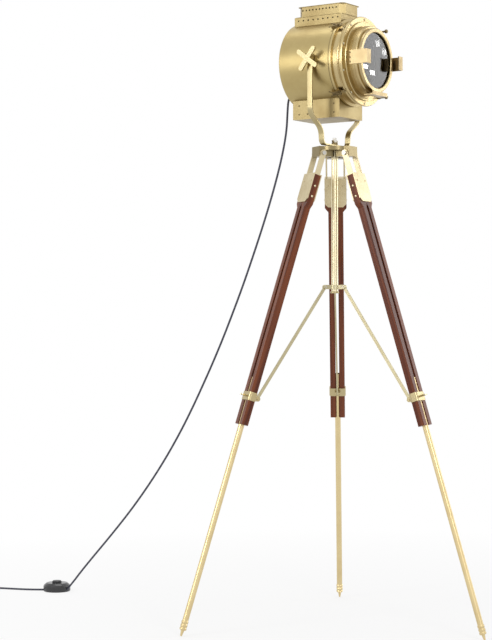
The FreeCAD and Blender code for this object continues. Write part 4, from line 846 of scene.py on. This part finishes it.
def rounded_line(corners, radii):
    """Line through corners, each replaced by an arc of its radius."""
    line = [Vector(corners[0])]
    for before, corner, after, radius in zip(corners, corners[1:], corners[2:], radii):
        corner = Vector(corner)
        back = (Vector(before) - corner).normalized()
        ahead = (Vector(after) - corner).normalized()
        half = back.angle(ahead) / 2
        middle = corner + (back + ahead).normalized() * (radius / math.sin(half))
        first = corner + back * (radius / math.tan(half)) - middle
        last = corner + ahead * (radius / math.tan(half)) - middle
        for step in range(ARC_STEPS + 1):
            line.append(middle + first.slerp(last, step / ARC_STEPS).normalized() * radius)
    return line + [Vector(corners[-1])]


def make_yoke():
    """Flat bar bent in soft curves from one tilt pivot under the drum to the other."""
    low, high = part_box("yoke")
    foot, top = low[2] + YOKE_THICK / 2, high[2]
    side = [(YOKE_FOOT_X, AXIS_Y, foot), (YOKE_WAIST_X, AXIS_Y, YOKE_WAIST_Z),
            (YOKE_ARM_X, AXIS_Y, YOKE_SHOULDER_Z), (YOKE_ARM_X, AXIS_Y, top)]
    corners = [(-x, y, z) for x, y, z in reversed(side)] + side
    bends = (YOKE_SIDE_BEND, YOKE_SIDE_BEND, YOKE_FOOT_BEND)
    line = rounded_line(corners, bends + bends[::-1])
    drop = line[1] - line[0]
    bpy.ops.mesh.primitive_plane_add(size=1, location=(line[0] + line[1]) / 2,
                                     rotation=(0, math.pi / 2, 0))
    bar = start("yoke_bar")
    bar.scale = (drop.length, YOKE_WIDE, 1)
    settle(bar)
    only(bar)
    bpy.ops.object.mode_set(mode="EDIT")
    bpy.ops.mesh.select_mode(type="EDGE")
    bpy.ops.mesh.select_all(action="DESELECT")
    bpy.ops.object.mode_set(mode="OBJECT")
    for edge in bar.data.edges:
        edge.select = all(bar.data.vertices[index].co.z < line[0].z - drop.length / 2
                          for index in edge.vertices)
    bpy.ops.object.mode_set(mode="EDIT")
    for here, ahead in zip(line[1:], line[2:]):
        bpy.ops.mesh.extrude_edges_move(TRANSFORM_OT_translate={"value": ahead - here})
    bpy.ops.mesh.select_all(action="SELECT")
    bpy.ops.mesh.normals_make_consistent(inside=False)
    bpy.ops.object.mode_set(mode="OBJECT")
    wall = bar.modifiers.new("wall", "SOLIDIFY")
    wall.thickness = YOKE_THICK
    wall.offset = 0
    bpy.ops.object.modifier_apply(modifier=wall.name)
    bevelled(bar, 0.0007, 2, 50)
    settle(bar)
    level = bar.modifiers.new("flat_faces", "WEIGHTED_NORMAL")
    level.keep_sharp = True
    bpy.ops.object.modifier_apply(modifier=level.name)
    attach(bar, "yoke")
    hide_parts("yoke")
    return dress(bar, BRASS_CAST)


make_yoke()


# ---------------------------------------------------------------- floor, light and camera

FADE_REACH = 2.2  # metres from the frame's origin to where the floor is plain white

def seen_directly(tree):
    """1 where the camera sees a surface, also in metal and through glass."""
    path = add(tree, "ShaderNodeLightPath")
    straight = math_node(tree, "MAXIMUM", path.outputs["Is Camera Ray"],
                         path.outputs["Is Transmission Ray"])
    return math_node(tree, "MAXIMUM", straight, path.outputs["Is Glossy Ray"])


def make_stage():
    """Pale floor that keeps a soft shadow and fades to white away from the lamp."""
    bpy.ops.mesh.primitive_plane_add(size=40, location=(0, 0, 0))
    floor = start("studio_floor")
    material = bpy.data.materials.new("pale_floor")
    material.use_nodes = True
    tree = material.node_tree
    tree.nodes["Principled BSDF"].inputs["Base Color"].default_value = (0.9, 0.9, 0.9, 1)
    tree.nodes["Principled BSDF"].inputs["Roughness"].default_value = 0.7
    white = add(tree, "ShaderNodeEmission", Color=(1, 1, 1, 1), Strength=1.0)
    away = add(tree, "ShaderNodeTexCoord").outputs["Object"]
    reach = tree.nodes.new("ShaderNodeVectorMath")
    reach.operation = "LENGTH"
    tree.links.new(away, reach.inputs[0])
    fade = ramp(tree, math_node(tree, "DIVIDE", reach.outputs["Value"], FADE_REACH),
                [(0.25, (0.72, 0.72, 0.72)), (0.95, (1, 1, 1))])
    blend = add(tree, "ShaderNodeMixShader")
    tree.links.new(math_node(tree, "MULTIPLY", seen_directly(tree), fade), blend.inputs[0])
    tree.links.new(tree.nodes["Principled BSDF"].outputs[0], blend.inputs[1])
    tree.links.new(white.outputs[0], blend.inputs[2])
    tree.links.new(blend.outputs[0], tree.nodes["Material Output"].inputs["Surface"])
    dress(floor, material)


def make_world():
    """Soft white light from all round, seen as plain white."""
    world = bpy.data.worlds.new("studio")
    bpy.context.scene.world = world
    world.use_nodes = True
    tree = world.node_tree
    soft = tree.nodes["Background"]
    soft.inputs["Color"].default_value = (1, 1, 1, 1)
    soft.inputs["Strength"].default_value = 0.55
    shown = add(tree, "ShaderNodeBackground", Color=(1, 1, 1, 1), Strength=1.0)
    mix = add(tree, "ShaderNodeMixShader")
    tree.links.new(seen_directly(tree), mix.inputs[0])
    tree.links.new(soft.outputs[0], mix.inputs[1])
    tree.links.new(shown.outputs[0], mix.inputs[2])
    tree.links.new(mix.outputs[0], tree.nodes["World Output"].inputs["Surface"])


def softbox(name, place, aim, wide, high, power):
    """Rectangular lamp of so many watts, turned to its aim."""
    bpy.ops.object.light_add(type="AREA", location=place)
    light = bpy.context.object
    light.name = name
    light.data.shape = "RECTANGLE"
    light.data.size = wide
    light.data.size_y = high
    light.data.energy = power
    light.rotation_euler = (Vector(aim) - Vector(place)).to_track_quat("-Z", "Y").to_euler()


make_stage()
make_world()
softbox("key_softbox", (-2.6, -3.6, 2.6), aim=(0, 0.1, 1.1), wide=0.9, high=1.8, power=42)
softbox("side_softbox", (-3.6, 1.4, 2.0), aim=(0, 0.1, 1.0), wide=0.8, high=1.8, power=36)
softbox("top_softbox", (0.2, 0.4, 4.2), aim=(0, 0.1, 0.6), wide=2.2, high=2.2, power=30)
softbox("front_softbox", (3.6, -2.3, 1.9), aim=(0, 0, 1.3), wide=2.2, high=2.4, power=22)
GLINTS = ((3.10, -2.50, 2.90), (3.30, -2.15, 2.72), (3.12, -2.45, 2.46),
          (3.12, -2.45, 1.90), (3.30, -2.20, 1.82))
for rank, place in enumerate(GLINTS):
    softbox(f"glint_{rank}", place, aim=(0, 0, 1.44), wide=0.22, high=0.07, power=1.0)

CAMERA_PLACE = (-3.8091, -2.2606, 0.7840)
CAMERA_HEADING = math.radians(-55.197)
bpy.ops.object.camera_add(location=CAMERA_PLACE, rotation=(math.radians(90), 0, CAMERA_HEADING))
camera = bpy.context.object
camera.data.lens = 97.5
camera.data.sensor_width = 36
camera.data.clip_start = 0.1
camera.data.clip_end = 100
bpy.context.scene.camera = camera
bpy.context.scene.view_settings.view_transform = "Standard"
